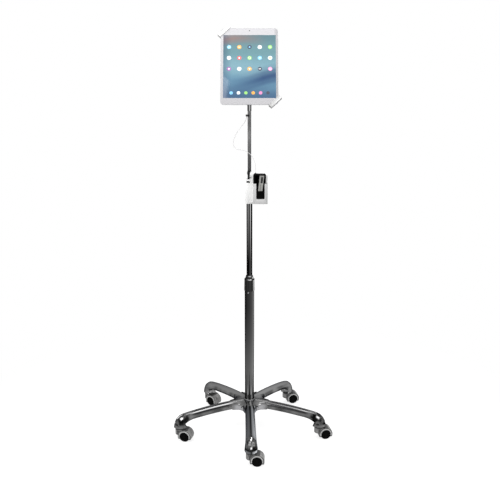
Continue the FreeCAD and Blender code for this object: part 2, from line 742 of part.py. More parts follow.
def jaw_screw():
    """Thumb screw that clamps the sliding tongue from the bar's rear."""
    start = tongue_back() + AIR
    shank = cylinder(JAW_SCREW_R, 0, bar_back() + 1 - start)
    knob = wing_knob(JAW_SCREW_HUB_R, JAW_SCREW_HUB_H, JAW_SCREW_WING, JAW_SCREW_WING_T, JAW_SCREW_WING_H)
    knob.translate(Vector(0, 0, bar_back() + 1 - start))
    return placed(shank.fuse(knob), Placement(Vector(0, start, JAW_SCREW_AT), Rotation(Vector(1, 0, 0), -90)))


def tablet_case():
    front = -TABLET_FRONT
    w, h = TABLET_W / 2, TABLET_H / 2
    body = rounded_box(-w, w, front, front + TABLET_T, -h, h, TABLET_CORNER_R, Vector(0, 1, 0))
    seat = rounded_box(
        -w + GLASS_RIM, w - GLASS_RIM, front - 1, front + GLASS_T, -h + GLASS_RIM, h - GLASS_RIM,
        TABLET_CORNER_R - GLASS_RIM, Vector(0, 1, 0),
    )
    return body.cut(seat)


def tablet_glass():
    front = -TABLET_FRONT
    w, h = TABLET_W / 2 - GLASS_RIM, TABLET_H / 2 - GLASS_RIM
    return rounded_box(-w, w, front, front + GLASS_T, -h, h, TABLET_CORNER_R - GLASS_RIM, Vector(0, 1, 0))


# Holster and scanner


def plate_back():
    """Y of the holster plate's rear face, which lies on the clamp's pad."""
    return -CLAMP_R


def holster_clamp():
    """Split sleeve round the upper tube, with a flat pad in front and two ears behind."""
    sleeve = cylinder(CLAMP_R, CLAMP_BOTTOM, CLAMP_TOP)
    pad = box(-CLAMP_PAD_W / 2, CLAMP_PAD_W / 2, -CLAMP_R, -CLAMP_R / 2, CLAMP_BOTTOM, CLAMP_TOP)
    ear_w = CLAMP_SPLIT / 2 + CLAMP_EAR_T
    ears = box(-ear_w, ear_w, UPPER_TUBE_R, CLAMP_R + CLAMP_EAR, CLAMP_BOTTOM, CLAMP_TOP)
    solid = sleeve.fuse([pad, ears]).cut(cylinder(UPPER_TUBE_R, CLAMP_BOTTOM - 1, CLAMP_TOP + 1))
    split = CLAMP_SPLIT / 2
    solid = solid.cut(box(-split, split, 0, CLAMP_R + CLAMP_EAR + 1, CLAMP_BOTTOM - 1, CLAMP_TOP + 1))
    for z in clamp_screw_heights():
        solid = solid.cut(rod(CLAMP_SCREW_R, clamp_screw_spot(-DRILL_PAST, z), clamp_screw_spot(DRILL_PAST, z)))
    return solid.removeSplitter()


def clamp_screw_heights():
    return (CLAMP_BOTTOM + CLAMP_SCREW_INSET, CLAMP_TOP - CLAMP_SCREW_INSET)


def clamp_screw_spot(x, z):
    return Vector(x, CLAMP_R + CLAMP_EAR / 2, z)


def clamp_screws():
    """Two screws that draw the ears together."""
    ear = CLAMP_SPLIT / 2 + CLAMP_EAR_T
    screws = []
    for z in clamp_screw_heights():
        screw = cylinder(CLAMP_SCREW_R, -ear - 2, ear).fuse(hexagon(CLAMP_SCREW_HEAD_R, ear, ear + CLAMP_SCREW_HEAD_H))
        screws.append(placed(across(screw), Placement(clamp_screw_spot(0, z), Rotation())))
    return Part.makeCompound(screws)


def holster_plate():
    """Rear plate with a rounded upper left corner and a small slot."""
    y0, y1 = plate_back() - HOLSTER_SHEET, plate_back()
    plate = box(PLATE_LEFT, POCKET_RIGHT, y0, y1, POCKET_BOTTOM, PLATE_TOP)
    corner = [
        e for e in plate.Edges
        if abs(e.Vertexes[0].X - PLATE_LEFT) < 0.1 and abs(e.Vertexes[1].X - PLATE_LEFT) < 0.1
        and abs(e.Vertexes[0].Z - PLATE_TOP) < 0.1 and abs(e.Vertexes[1].Z - PLATE_TOP) < 0.1
    ]
    plate = plate.makeFillet(PLATE_CORNER_R, corner)
    w, h = PLATE_SLOT_W / 2, PLATE_SLOT_H / 2
    slot = rounded_box(
        PLATE_SLOT_X - w, PLATE_SLOT_X + w, y0 - 1, y1 + 1, PLATE_SLOT_Z - h, PLATE_SLOT_Z + h,
        w * 0.98, Vector(0, 1, 0),
    )
    return plate.cut(slot)


def holster():
    """Folded sheet pocket: plate, floor, two sides and two front lips round a U-shaped cut."""
    y_back = plate_back()
    y_front = y_back - HOLSTER_SHEET - POCKET_DEPTH
    s = HOLSTER_SHEET
    pocket = box(POCKET_LEFT, POCKET_RIGHT, y_front, y_back, POCKET_BOTTOM, POCKET_TOP)
    room = box(POCKET_LEFT + s, POCKET_RIGHT - s, y_front + s, y_back - s, POCKET_BOTTOM + s, POCKET_TOP + 1)
    middle = (POCKET_LEFT + POCKET_RIGHT) / 2
    window = rounded_box(
        middle - POCKET_U_W / 2, middle + POCKET_U_W / 2, y_front - 1, y_front + s + 1,
        POCKET_BOTTOM + POCKET_U_UP, POCKET_TOP + 20, POCKET_U_R, Vector(0, 1, 0),
    )
    pocket = pocket.cut(room).cut(window)
    return pocket.fuse(holster_plate()).removeSplitter()


def scanner_front():
    return plate_back() - HOLSTER_SHEET - AIR - SCANNER_T


def scanner_body():
    """Rounded body with an eyelet for the cord, recessed for the insert and the button."""
    y0, y1 = scanner_front(), scanner_front() + SCANNER_T
    floor = POCKET_BOTTOM + HOLSTER_SHEET + AIR
    body = rounded_box(
        SCANNER_LEFT, SCANNER_LEFT + SCANNER_W, y0, y1, floor, SCANNER_TOP, SCANNER_EDGE_R, Vector(0, 1, 0)
    )
    eyelet = cylinder(EYELET_R, SCANNER_TOP - 1, SCANNER_TOP + EYELET_H, EYELET_X, CORD_EYELET_Y)
    return body.fuse(eyelet).cut([insert_blank(), button_blank(AIR)]).removeSplitter()


def insert_blank():
    """Waisted, leaning strip set into the scanner's front."""
    left = [Vector(x - w / 2, 0, POCKET_BOTTOM + up) for up, x, w in INSERT_WAIST]
    right = [Vector(x + w / 2, 0, POCKET_BOTTOM + up) for up, x, w in reversed(INSERT_WAIST)]
    strip = Part.Face(Part.makePolygon(left + right + left[:1])).extrude(Vector(0, INSERT_PROUD + INSERT_SEAT, 0))
    strip.translate(Vector(0, scanner_front() - INSERT_PROUD, 0))
    return strip


def scanner_insert():
    return insert_blank().cut(button_blank(AIR))


def button_blank(grow):
    """Oval button outline, grown by a clearance, reaching into the scanner."""
    w, h = BUTTON_W / 2 + grow, BUTTON_H / 2 + grow
    y0, y1 = scanner_front() - INSERT_PROUD - BUTTON_PROUD, scanner_front() + BUTTON_DEEP + grow
    oval = rounded_box(-w, w, y0, y1, -h, h, w * 0.98, Vector(0, 1, 0))
    return placed(oval, Placement(Vector(BUTTON_X, 0, BUTTON_Z), Rotation(Vector(0, 1, 0), BUTTON_LEAN)))


def scanner_button():
    y0, y1 = scanner_front() - INSERT_PROUD - BUTTON_PROUD, scanner_front() + BUTTON_DEEP - BUTTON_PROUD
    keep = box(BUTTON_X - BUTTON_H, BUTTON_X + BUTTON_H, y0, y1, BUTTON_Z - BUTTON_H, BUTTON_Z + BUTTON_H)
    return button_blank(0).common(keep)


# Tether


def cord_clip():
    """Small clip on the neck's left, which the cord leaves downward."""
    half = CORD_CLIP_H / 2
    low, high = CORD_CLIP_Z - half, CORD_CLIP_Z + half
    wall = NECK_R + CORD_CLIP_WALL
    clip = box(-wall, 0, -wall, wall, low, high)
    lug = box(CORD_EXIT_X - CORD_CLIP_LUG / 2, -NECK_R, -1.6, 1.6, low, high)
    return clip.fuse(lug).cut(cylinder(NECK_R, low - 1, high + 1)).removeSplitter()


def cord_points():
    top = Vector(CORD_EXIT_X, 0, CORD_CLIP_Z - CORD_CLIP_H / 2)
    end = Vector(EYELET_X, CORD_EYELET_Y, SCANNER_TOP + EYELET_H)
    return [top] + [Vector(x, y, UPPER_TUBE_TOP + up) for x, y, up in CORD_ROUTE] + [end]


def cord_path(points):
    """Straight runs joined by the largest tangent arcs that they allow."""
    edges, start, radii = [], points[0], []
    for a, b, c in zip(points, points[1:], points[2:]):
        to_a, to_c = (a - b).normalize(), (c - b).normalize()
        turn = math.pi - to_a.getAngle(to_c)
        cut = 0.45 * min((a - b).Length, (c - b).Length)
        radius = cut / math.tan(turn / 2)
        radii.append(radius)
        enter, leave = b + to_a * cut, b + to_c * cut
        inward = (to_a + to_c).normalize()
        middle = b + inward * (radius / math.cos(turn / 2) - radius)
        edges.append(Part.makeLine(start, enter))
        edges.append(Part.Arc(enter, middle, leave).toShape())
        start = leave
    edges.append(Part.makeLine(start, points[-1]))
    return Part.Wire(edges), radii


def tether_cord():
    """Thin cord of six-sided section along the route."""
    path, radii = cord_path(cord_points())
    first = path.Edges[0]
    start, along = first.Vertexes[0].Point, first.tangentAt(first.FirstParameter)
    side = along.cross(Vector(0, 1, 0)).normalize()
    other = along.cross(side)
    ring = [start + side * (CORD_R * math.cos(math.pi * i / 3)) + other * (CORD_R * math.sin(math.pi * i / 3))
            for i in range(7)]
    section = Part.makePolygon(ring)
    solid = path.makePipeShell([section], True, False)
    length, area = path.Length, Part.Face(section).Area
    print(f"cord: {length:.1f} mm long, radii {min(radii):.1f} to {max(radii):.1f} mm, "
          f"volume {solid.Volume:.1f} against {area * length:.1f} mm3")
    return solid


def main():
    os.makedirs("parts", exist_ok=True)

    save("star_base", star_base())
    save("foot_nut", foot_nut())
    save("hub_bolt", hub_bolt())
    save("column_lower", column_lower())
    save("lock_collet", lock_collet())
    save("lock_screw", lock_screw())
    save("lock_collar", lock_collar())

    hood, wheels = caster_hood(), caster_wheels()
    for name, spec in CASTERS.items():
        save(f"caster_hood_{name}", placed(hood, caster_place(*spec)))
        save(f"caster_wheels_{name}", placed(wheels, caster_place(*spec)))

    save("guide_bush", guide_bush())
    save("column_upper", column_upper())
    save("neck_socket", neck_socket())
    for k in range(NECK_LINKS):
        save(f"neck_link_{k + 1}", neck_link(k))
    save("cord_clip", cord_clip())
    save("head_stem", head_stem())

    for name, piece in {"tilt_block": tilt_block(), "tilt_pin": tilt_pin(), "tilt_knob": tilt_knob(),
                        "tablet_case": tablet_case(), "tablet_glass": tablet_glass()}.items():
        save(name, head_place(piece))
    for name, piece in {"holder_bar": holder_bar(), "lower_jaw": lower_jaw(), "upper_jaw": upper_jaw(),
                        "jaw_screw": jaw_screw(), "swivel_bolt": swivel_bolt()}.items():
        save(name, head_place(diagonal_place(piece)))

    save("holster_clamp", holster_clamp())
    save("clamp_screws", clamp_screws())
    save("holster", holster())
    save("scanner_body", scanner_body())
    save("scanner_insert", scanner_insert())
    save("scanner_button", scanner_button())
    save("tether_cord", tether_cord())


main()
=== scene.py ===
import json
import math

import bmesh
import bpy
from bpy.props import FloatProperty, FloatVectorProperty, PointerProperty
from bpy.types import Operator, Panel, PropertyGroup
from mathutils import Matrix, Vector

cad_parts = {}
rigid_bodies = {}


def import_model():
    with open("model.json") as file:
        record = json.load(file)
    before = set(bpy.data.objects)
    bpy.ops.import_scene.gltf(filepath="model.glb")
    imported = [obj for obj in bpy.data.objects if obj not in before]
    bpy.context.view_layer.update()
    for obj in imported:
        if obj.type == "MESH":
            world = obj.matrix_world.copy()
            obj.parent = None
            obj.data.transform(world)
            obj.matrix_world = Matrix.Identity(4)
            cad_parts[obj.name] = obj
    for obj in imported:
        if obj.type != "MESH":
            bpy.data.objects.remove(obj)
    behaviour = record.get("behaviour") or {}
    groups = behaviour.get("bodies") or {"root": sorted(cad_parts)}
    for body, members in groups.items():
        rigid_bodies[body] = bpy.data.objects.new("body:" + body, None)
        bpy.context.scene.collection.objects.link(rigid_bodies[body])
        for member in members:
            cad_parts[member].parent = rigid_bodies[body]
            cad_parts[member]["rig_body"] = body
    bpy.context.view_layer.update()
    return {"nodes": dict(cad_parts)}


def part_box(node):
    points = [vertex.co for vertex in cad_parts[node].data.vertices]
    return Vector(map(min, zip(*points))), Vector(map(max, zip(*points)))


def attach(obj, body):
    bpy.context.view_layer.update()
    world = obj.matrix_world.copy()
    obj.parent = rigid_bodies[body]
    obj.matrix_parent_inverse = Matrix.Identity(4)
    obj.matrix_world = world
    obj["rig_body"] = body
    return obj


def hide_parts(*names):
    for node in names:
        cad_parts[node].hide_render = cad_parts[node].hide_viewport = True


bl_info = {
    "name": "Rolling tablet stand",
    "version": (1, 0, 0),
    "blender": (4, 5, 0),
    "location": "3D View > Sidebar > Tablet stand",
    "description": "Builds the looks of a rolling gooseneck floor stand for a tablet round its fixed frame",
    "category": "Object",
}

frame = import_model()

# Pieces are drawn in millimetres and brought to metres when they are made.
MM = 0.001

# Shared places of the frame, in millimetres and degrees
FLOOR_TO_AXLE = 18.0
LEG_COUNT = 5
LEG_YAW = 1.3
SWIVEL_CIRCLE_R = 246.0
CASTER_TRAIL = 19.0
SWIVEL_PIN_R = 5.0
# Room that each pin has in its hole, all round
PLAY = 0.05
# Each caster's leg, as an angle from the right, and the way it trails.
CASTERS = {
    "front": (270.0, -2.0),
    "front_left": (198.0, -15.0),
    "front_right": (342.0, 10.0),
    "back_left": (126.0, -36.0),
    "back_right": (54.0, 12.0),
}
LOWER_TUBE_R = 15.875
UPPER_TUBE_R = 9.525
TUBE_WALL = 1.5
LOWER_TUBE_TOP = 512.0
UPPER_TUBE_TOP = 871.0
NECK_BOTTOM = 897.0
NECK_TOP = 1085.0
NECK_LINKS = 7
NECK_R = 5.75
TILT_PIN_Z = 1193.0
TILT_PIN_R = 3.0
PIVOT = Vector((0, 0, TILT_PIN_Z))
HEAD_LEAN = 27.2
TABLET_W = 174.1
TABLET_H = 250.6
TABLET_T = 6.1
TABLET_FRONT = 63.8


def colour(name, text, default):
    """A colour that a user would change."""
    return FloatVectorProperty(name=name, description=text, default=default, min=0, max=1, subtype="COLOR", size=3)


def length(name, text, default):
    """A length in metres that a user would change."""
    return FloatProperty(
        name=name, description=text, default=default, min=0, unit="LENGTH", subtype="DISTANCE", precision=4
    )


POLISHED_GREY = 0.19


class StandColours(PropertyGroup):
    """Colours of the stand's finishes."""

    polished: colour("Polished metal", "Broad faces of the cast star base", (POLISHED_GREY, POLISHED_GREY, 0.192))
    tube_shine: colour("Tube shine", "Light streaks of the two tubes", (0.230, 0.230, 0.233))
    hood: colour("Caster hood", "Moulded hoods of the casters", (0.185, 0.183, 0.181))
    lip: colour("Hood lip", "Light ring along the edge of each hood", (0.390, 0.390, 0.385))
    wheel: colour("Wheel", "Rubber and hubs of the wheels", (0.003, 0.003, 0.003))
    collar: colour("Twist collar", "Dark collar of the twist lock", (0.030, 0.031, 0.031))
    neck: colour("Neck", "Wound metal neck", (0.110, 0.108, 0.110))
    fitting: colour("Black fittings", "Satin black metal of the head", (0.018, 0.018, 0.019))
    white_paint: colour("White paint", "Holster's plate and clamp, bar and jaws", (0.950, 0.950, 0.945))
    pocket: colour("Pocket grey", "Light grey of the holster's pocket", (0.510, 0.510, 0.510))
    tablet: colour("Tablet border", "Border under the tablet's glass", (0.500, 0.494, 0.512))
    scanner: colour("Scanner black", "Body of the hand scanner", (0.002, 0.002, 0.002))
    insert: colour("Scanner silver", "Strip set in the scanner's front", (0.340, 0.340, 0.322))
    cord: colour("Cord white", "Tether cord", (0.700, 0.690, 0.700))


class StandSizes(PropertyGroup):
    """Sizes of the details that the looks add."""

    rib_pitch: length("Rib pitch", "Distance between the turns of the wound neck", 0.0021)
    rib_depth: length("Rib depth", "Depth of the groove between the neck's turns", 0.00032)
    crease: length("Leg crease", "Rounding of the creases along the legs", 0.0016)
    hood_edge: length("Hood edge", "Rounding of the hoods' sides", 0.0014)
    lip_inner: length("Lip inner radius", "Inner edge of the light ring on a hood", 0.0163)
    lip_outer: length("Lip outer radius", "Outer edge of the light ring on a hood", 0.0200)
    small_edge: length("Small edges", "Rounding of machined and folded edges", 0.0004)


class StageSettings(PropertyGroup):
    """Camera and light of the stage."""

    camera_back: length("Camera distance", "Camera's distance in front of the column", 2.366)
    camera_height: length("Camera height", "Camera's height above the floor", 1.2268)
    camera_side: length("Camera side step", "Camera's place to the right of the column", 0.00185)
    camera_pitch: FloatProperty(
        name="Camera pitch", description="How far the camera looks down", default=math.radians(14.012), subtype="ANGLE"
    )
    camera_lens: FloatProperty(
        name="Camera lens", description="Focal length for a 36 mm sensor", default=53.6, unit="CAMERA"
    )
    ambient: FloatProperty(name="Ambient", description="Strength of the light from all round", default=1.18, min=0)
    key_power: FloatProperty(
        name="Key lamp", description="Power of the large lamp on the left", default=40.0, unit="POWER"
    )
    fill_power: FloatProperty(
        name="Fill lamps", description="Power of the lamps on the right and above", default=20.0, unit="POWER"
    )


def colours():
    return bpy.context.scene.stand_colours


def sizes():
    return bpy.context.scene.stand_sizes


# Finishes


class Nodes:
    """A node tree, and the few nodes that the finishes, the floor and the world share."""

    def __init__(self, tree):
        self.tree = tree

    def link(self, source, target):
        self.tree.links.new(source, target)

    def node(self, kind, inputs=(), **settings):
        """A new node, its inputs set to numbers, vectors and colours or linked to other sockets."""
        made = self.tree.nodes.new(kind)
        for key, value in settings.items():
            setattr(made, key, value)
        for key, value in dict(inputs).items():
            socket = made.inputs[key]
            if isinstance(value, tuple):
                socket.default_value = (*value, 1) if socket.type == "RGBA" else value
            elif isinstance(value, (int, float)):
                socket.default_value = value
            else:
                self.link(value, socket)
        return made

    def coordinates(self, scale=(1, 1, 1), kind="Object"):
        place = self.node("ShaderNodeTexCoord").outputs[kind]
        return self.node("ShaderNodeMapping", {"Scale": scale, "Vector": place}).outputs["Vector"]

    def noise(self, scale, detail, stretch=(1, 1, 1)):
        inputs = {"Scale": scale, "Detail": detail, "Roughness": 0.55, "Vector": self.coordinates(stretch)}
        return self.node("ShaderNodeTexNoise", inputs).outputs["Fac"]

    def ramp(self, factor, stops, smooth=False):
        """Grey or colour stops, as (place, value) pairs."""
        made = self.node("ShaderNodeValToRGB", {"Fac": factor})
        made.color_ramp.interpolation = "EASE" if smooth else "LINEAR"
        elements = made.color_ramp.elements
        while len(elements) < len(stops):
            elements.new(0.5)
        for element, (place, value) in zip(elements, stops):
            element.position = place
            element.color = (value, value, value, 1) if isinstance(value, float) else (*value, 1)
        return made.outputs["Color"]

    def range(self, value, low, high, to_low=0.0, to_high=1.0):
        inputs = {"Value": value, "From Min": low, "From Max": high, "To Min": to_low, "To Max": to_high}
        return self.node("ShaderNodeMapRange", inputs).outputs["Result"]

    def maths(self, operation, first, second=0.0):
        return self.node("ShaderNodeMath", {0: first, 1: second}, operation=operation).outputs["Value"]

    def product(self, first, *others):
        for other in others:
            first = self.maths("MULTIPLY", first, other)
        return first

    def mix(self, factor, first, second, blend="MIX"):
        inputs = {0: factor, 6: first, 7: second}
        return self.node("ShaderNodeMix", inputs, data_type="RGBA", blend_type=blend).outputs[2]

    def times(self, colour, other):
        """One colour multiplied by another."""
        return self.mix(1.0, colour, other, "MULTIPLY")

    def shaded(self, colour, value):
        """A colour multiplied by a number."""
        return self.times(colour, self.node("ShaderNodeCombineColor", {i: value for i in range(3)}).outputs["Color"])

    def vector(self, operation, *values):
        made = self.node("ShaderNodeVectorMath", enumerate(values), operation=operation)
        return made.outputs["Value" if operation in ("DOT_PRODUCT", "LENGTH") else "Vector"]

    def part(self, vector, letter):
        return self.node("ShaderNodeSeparateXYZ", {"Vector": vector}).outputs[letter]

    def axis(self, letter):
        return self.part(self.coordinates(), letter)

    def round_the_column(self):
        """Share of a turn about the column, 0 at the left, 0.25 in front and 0.5 at the right."""
        inputs = {"Vector": self.coordinates()}
        return self.node("ShaderNodeTexGradient", inputs, gradient_type="RADIAL").outputs["Fac"]

    def seen_rays(self):
        """1 for the rays that show the background: straight, mirrored or through glass."""
        path = self.node("ShaderNodeLightPath")
        value = path.outputs["Is Camera Ray"]
        for name in ("Is Glossy Ray", "Is Transmission Ray"):
            value = self.maths("MAXIMUM", value, path.outputs[name])
        return value


class Finish(Nodes):
    """A material with one Principled shader."""

    def __init__(self, name, base, roughness, metallic=0.0, specular=0.5):
        self.material = bpy.data.materials.new(name)
        self.material.use_nodes = True
        super().__init__(self.material.node_tree)
        self.shader = self.tree.nodes["Principled BSDF"]
        self.set("Base Color", (*base, 1))
        self.set("Roughness", roughness)
        self.set("Metallic", metallic)
        self.set("Specular IOR Level", specular)
        self.material.diffuse_color = (*base, 1)

    def set(self, socket, value):
        self.shader.inputs[socket].default_value = value

    def reflect(self, *grey):
        """Tint of the reflections: all of them on plastic, the glancing ones on metal."""
        self.set("Specular Tint", (*grey, 1))

    def paint(self, colour):
        self.link(colour, self.shader.inputs["Base Color"])
        return self.material

    def cloud(self, base, scale, detail, low, high):
        """The base colour, softly varied between two multiples of itself."""
        return self.paint(self.shaded(base, self.range(self.noise(scale, detail), 0.3, 0.7, low, high)))

    def roughen(self, scale, detail, low, high, stretch=(1, 1, 1)):
        rough = self.range(self.noise(scale, detail, stretch), 0.3, 0.7, low, high)
        self.link(rough, self.shader.inputs["Roughness"])
        return self.material

    def grain(self, scale, detail, strength, depth, stretch=(1, 1, 1)):
        """Fine unevenness of the surface."""
        inputs = {"Strength": strength, "Distance": depth, "Height": self.noise(scale, detail, stretch)}
        self.link(self.node("ShaderNodeBump", inputs).outputs["Normal"], self.shader.inputs["Normal"])
        return self.material


def plain(name, base, roughness, metallic, specular, cloud, grain=None):
    """Maker of a finish of one colour, with soft clouds and a fine grain. The colour may be a property's name."""

    def make():
        own = tuple(getattr(colours(), base)) if isinstance(base, str) else base
        f = Finish(name, own, roughness, metallic, specular)
        if grain:
            f.grain(*grain)
        return f.cloud(own, *cloud)

    return make


class LegPlace:
    """Where a point of the star base lies: the way it faces, and its place along and across its own leg."""

    def __init__(self, f):
        self.spot, self.normal = f.coordinates(), f.coordinates(kind="Normal")
        self.x, self.y, self.z = (f.part(self.spot, letter) for letter in "XYZ")
        self.up, self.toward = f.part(self.normal, "Z"), f.part(self.normal, "Y")
        self.side = f.range(f.part(self.normal, "X"), -1.0, 1.0)
        flat = f.vector("MULTIPLY", self.spot, (1, 1, 0))
        self.radius, self.outward = f.vector("LENGTH", flat), f.vector("NORMALIZE", flat)
        first_leg = (CASTERS["front_left"][0] - 180 + LEG_YAW) / 360
        share = f.maths("SUBTRACT", f.round_the_column(), first_leg - 0.5 / LEG_COUNT)
        share = f.maths("FRACT", f.product(share, LEG_COUNT))
        turned_by = f.product(f.maths("SUBTRACT", share, 0.5), math.radians(360 / LEG_COUNT))
        self.off_ridge = f.product(self.radius, f.maths("SINE", turned_by))
        half_width = 0.022
        self.across = f.range(f.maths("ABSOLUTE", self.off_ridge), 0.0, half_width)


def leg_faces(f, at, level):
    """Painted reflections on the broad faces: grey by the way they turn, uneven low on the legs' flanks."""
    front_and_up = (0.0, -0.62, 0.78)
    facing = f.range(f.vector("DOT_PRODUCT", at.normal, front_and_up), -1.0, 1.0)
    greys = ((0.0, 0.16), (0.4, 0.16), (0.65, 0.14), (0.8, 0.17), (0.9, 0.19), (1.0, 0.15))
    metal = f.ramp(facing, [(place, grey * level) for place, grey in greys])
    turn = f.ramp(at.side, [(0.0, 0.75), (0.1, 0.75), (0.4, 0.9), (0.5, 1.05), (0.62, 1.2), (0.8, 1.05), (1.0, 0.95)])
    metal = f.times(metal, turn)
    on_flank = f.ramp(at.across, [(0.5, 0.0), (0.66, 1.0)])
    return f.mix(on_flank, metal, f.shaded(metal, f.range(f.noise(22.0, 1.0), 0.35, 0.65, 0.5, 1.2)))


def leg_painted_lines(f, at, metal):
    """A painted highlight line between two painted dark reflections on the near slopes of the legs, from the hub to the
    elbow.
    """
    slope = f.product(f.range(at.toward, -0.02, -0.12), f.range(at.up, 0.15, 0.3), f.range(at.y, -0.012, -0.03))
    near = f.product(slope, f.range(at.radius, 0.056, 0.082), f.range(at.radius, 0.214, 0.200))
    # Painted dark reflections in bands on both sides of the highlight line
    border = f.ramp(at.across, [(0.04, 0.0), (0.12, 0.9), (0.34, 0.97), (0.5, 0.97), (0.66, 0.9), (0.74, 0.0)])
    metal = f.mix(f.product(border, near), metal, (0.016, 0.016, 0.017))
    # Painted highlight line along the crease
    line = f.ramp(at.across, [(0.35, 0.0), (0.38, 1.0), (0.49, 1.0), (0.52, 0.0)])
    shine = f.mix(f.range(at.side, 0.42, 0.58), (0.13, 0.13, 0.13), (0.80, 0.80, 0.80))
    return f.mix(f.product(line, near), metal, shine)


def hub_and_back_painted_light(f, at, metal):
    """Painted light: paler crotch walls under the front of the hub, which lie in shade, and paler legs at the back."""
    crotch = f.product(f.range(at.radius, 0.070, 0.058), f.range(at.up, 0.5, 0.1), f.range(at.y, 0.0, -0.02))
    return f.shaded(f.mix(crotch, metal, (0.34, 0.34, 0.35)), f.range(at.y, 0.0, 0.04, 1.0, 1.3))


def front_leg(f, at, metal):
    """Painted reflections on the front leg, seen along its ridge: a dark line down its middle, and a bright streak at
    its root.
    """
    half_width = 0.018
    shades = f.ramp(f.range(at.off_ridge, -half_width, half_width), [
        (0.0, 0.19), (0.12, 0.14), (0.3, 0.11), (0.42, 0.075), (0.50, 0.02), (0.55, 0.03), (0.64, 0.22), (0.8, 0.42),
        (1.0, 0.62),
    ])
    along = math.radians(CASTERS["front"][0] + LEG_YAW)
    ahead = (math.cos(along), math.sin(along), 0)
    on_front = f.range(f.vector("DOT_PRODUCT", at.outward, ahead), 0.88, 0.93)
    on_front = f.product(on_front, f.range(at.radius, 0.056, 0.068))
    metal = f.mix(on_front, metal, f.times(shades, (0.97, 1.0, 1.04)))
    # Painted highlight streak on top of the front leg's root
    streak = f.ramp(f.range(at.x, -0.006, 0.008), [(0.3, 0.0), (0.42, 1.0), (0.62, 1.0), (0.75, 0.0)])
    ends = f.range(at.y, -0.018, -0.022), f.range(at.y, -0.062, -0.050)
    return f.mix(f.product(streak, *ends, f.range(at.up, 0.8, 0.9)), metal, (0.95, 0.95, 0.95))


def elbow_painted_reflections(f, at, metal):
    """Dark broken reflections on the elbows, with glints along the ridge and beside it."""
    broken_reflection = f.ramp(f.noise(48.0, 2.0), [(0.36, 0.004), (0.46, 0.015), (0.52, 0.06), (0.60, 0.12), (0.68, 0.02)])
    ridge = f.ramp(at.across, [(0.08, 1.0), (0.16, 0.0)])
    glint = f.product(ridge, f.range(f.noise(75.0, 1.0), 0.55, 0.60))
    beside = f.ramp(at.across, [(0.46, 0.0), (0.56, 1.0), (0.64, 1.0), (0.74, 0.0)])
    bend = f.ramp(f.range(at.radius, 0.232, 0.254), [(0.2, 0.0), (0.4, 1.0), (0.6, 1.0), (0.8, 0.0)])
    beside = f.product(beside, bend, f.range(at.toward, -0.3, -0.5), f.range(at.x, -0.1, 0.1, 0.5, 1.0))
    glint = f.maths("MAXIMUM", glint, f.product(beside, f.range(at.y, -0.18, -0.14)))
    broken_reflection = f.mix(glint, broken_reflection, (1.0, 1.0, 1.0))
    turned_out = f.range(f.vector("DOT_PRODUCT", at.normal, at.outward), 0.18, 0.34)
    turned_out = f.maths("MAXIMUM", turned_out, f.range(at.toward, -0.45, -0.65))
    low_and_far = f.range(at.radius, 0.213, 0.223), f.range(at.z, 0.0520, 0.0545)
    return f.mix(f.product(turned_out, *low_and_far, f.range(at.y, 0.02, -0.02, 0.3, 1.0)), metal, broken_reflection)


def polished_base():
    """Polished cast aluminium with its reflections painted into the colour: grey faces, bright and dark lines along the
    legs, and dark elbows.
    """
    base = tuple(colours().polished)
    f = Finish("polished_base", base, 0.16, 1.0)
    f.reflect(0.25, 0.25, 0.26)
    at = LegPlace(f)
    metal = leg_faces(f, at, base[0] / POLISHED_GREY)
    for shading in (leg_painted_lines, hub_and_back_painted_light, front_leg, elbow_painted_reflections):
        metal = shading(f, at, metal)
    f.roughen(60.0, 4.0, 0.12, 0.22)
    f.grain(420.0, 3.0, 0.02, 0.0002)
    return f.paint(metal)


def lower_tube_chrome():
    """Dark chrome with painted reflections: darkest on the left and lightest on the right, paler towards the base."""
    f = Finish("lower_tube_chrome", colours().tube_shine, 0.14, 1.0)
    f.reflect(0.06, 0.06, 0.06)
    turn = f.round_the_column()
    high = f.ramp(turn, [
        (0.0, 0.0), (0.05, 0.0), (0.10, 0.004), (0.16, 0.022), (0.25, 0.036), (0.31, 0.054), (0.37, 0.100),
        (0.43, 0.240), (0.5, 0.60), (0.56, 0.09), (0.7, 0.03), (0.8, 0.12), (0.88, 0.02), (1.0, 0.0),
    ])
    low = f.ramp(turn, [
        (0.0, 0.12), (0.06, 0.095), (0.16, 0.080), (0.25, 0.090), (0.33, 0.125), (0.40, 0.190), (0.46, 0.230),
        (0.5, 0.34), (0.58, 0.16), (0.7, 0.07), (0.8, 0.2), (0.9, 0.08), (1.0, 0.12),
    ])
    foot = f.ramp(turn, [
        (0.0, 0.08), (0.07, 0.01), (0.12, 0.10), (0.19, 0.27), (0.235, 0.02), (0.27, 0.03), (0.31, 0.30), (0.35, 0.25),
        (0.40, 0.03), (0.45, 0.25), (0.5, 0.35), (0.6, 0.05), (0.7, 0.2), (0.8, 0.05), (0.9, 0.18), (1.0, 0.10),
    ])
    height = f.axis("Z")
    body = f.mix(f.range(height, 0.22, 0.44), low, high)
    f.roughen(40.0, 3.0, 0.10, 0.18, (1, 1, 0.2))
    return f.paint(f.mix(f.range(height, 0.17, 0.12), body, foot))


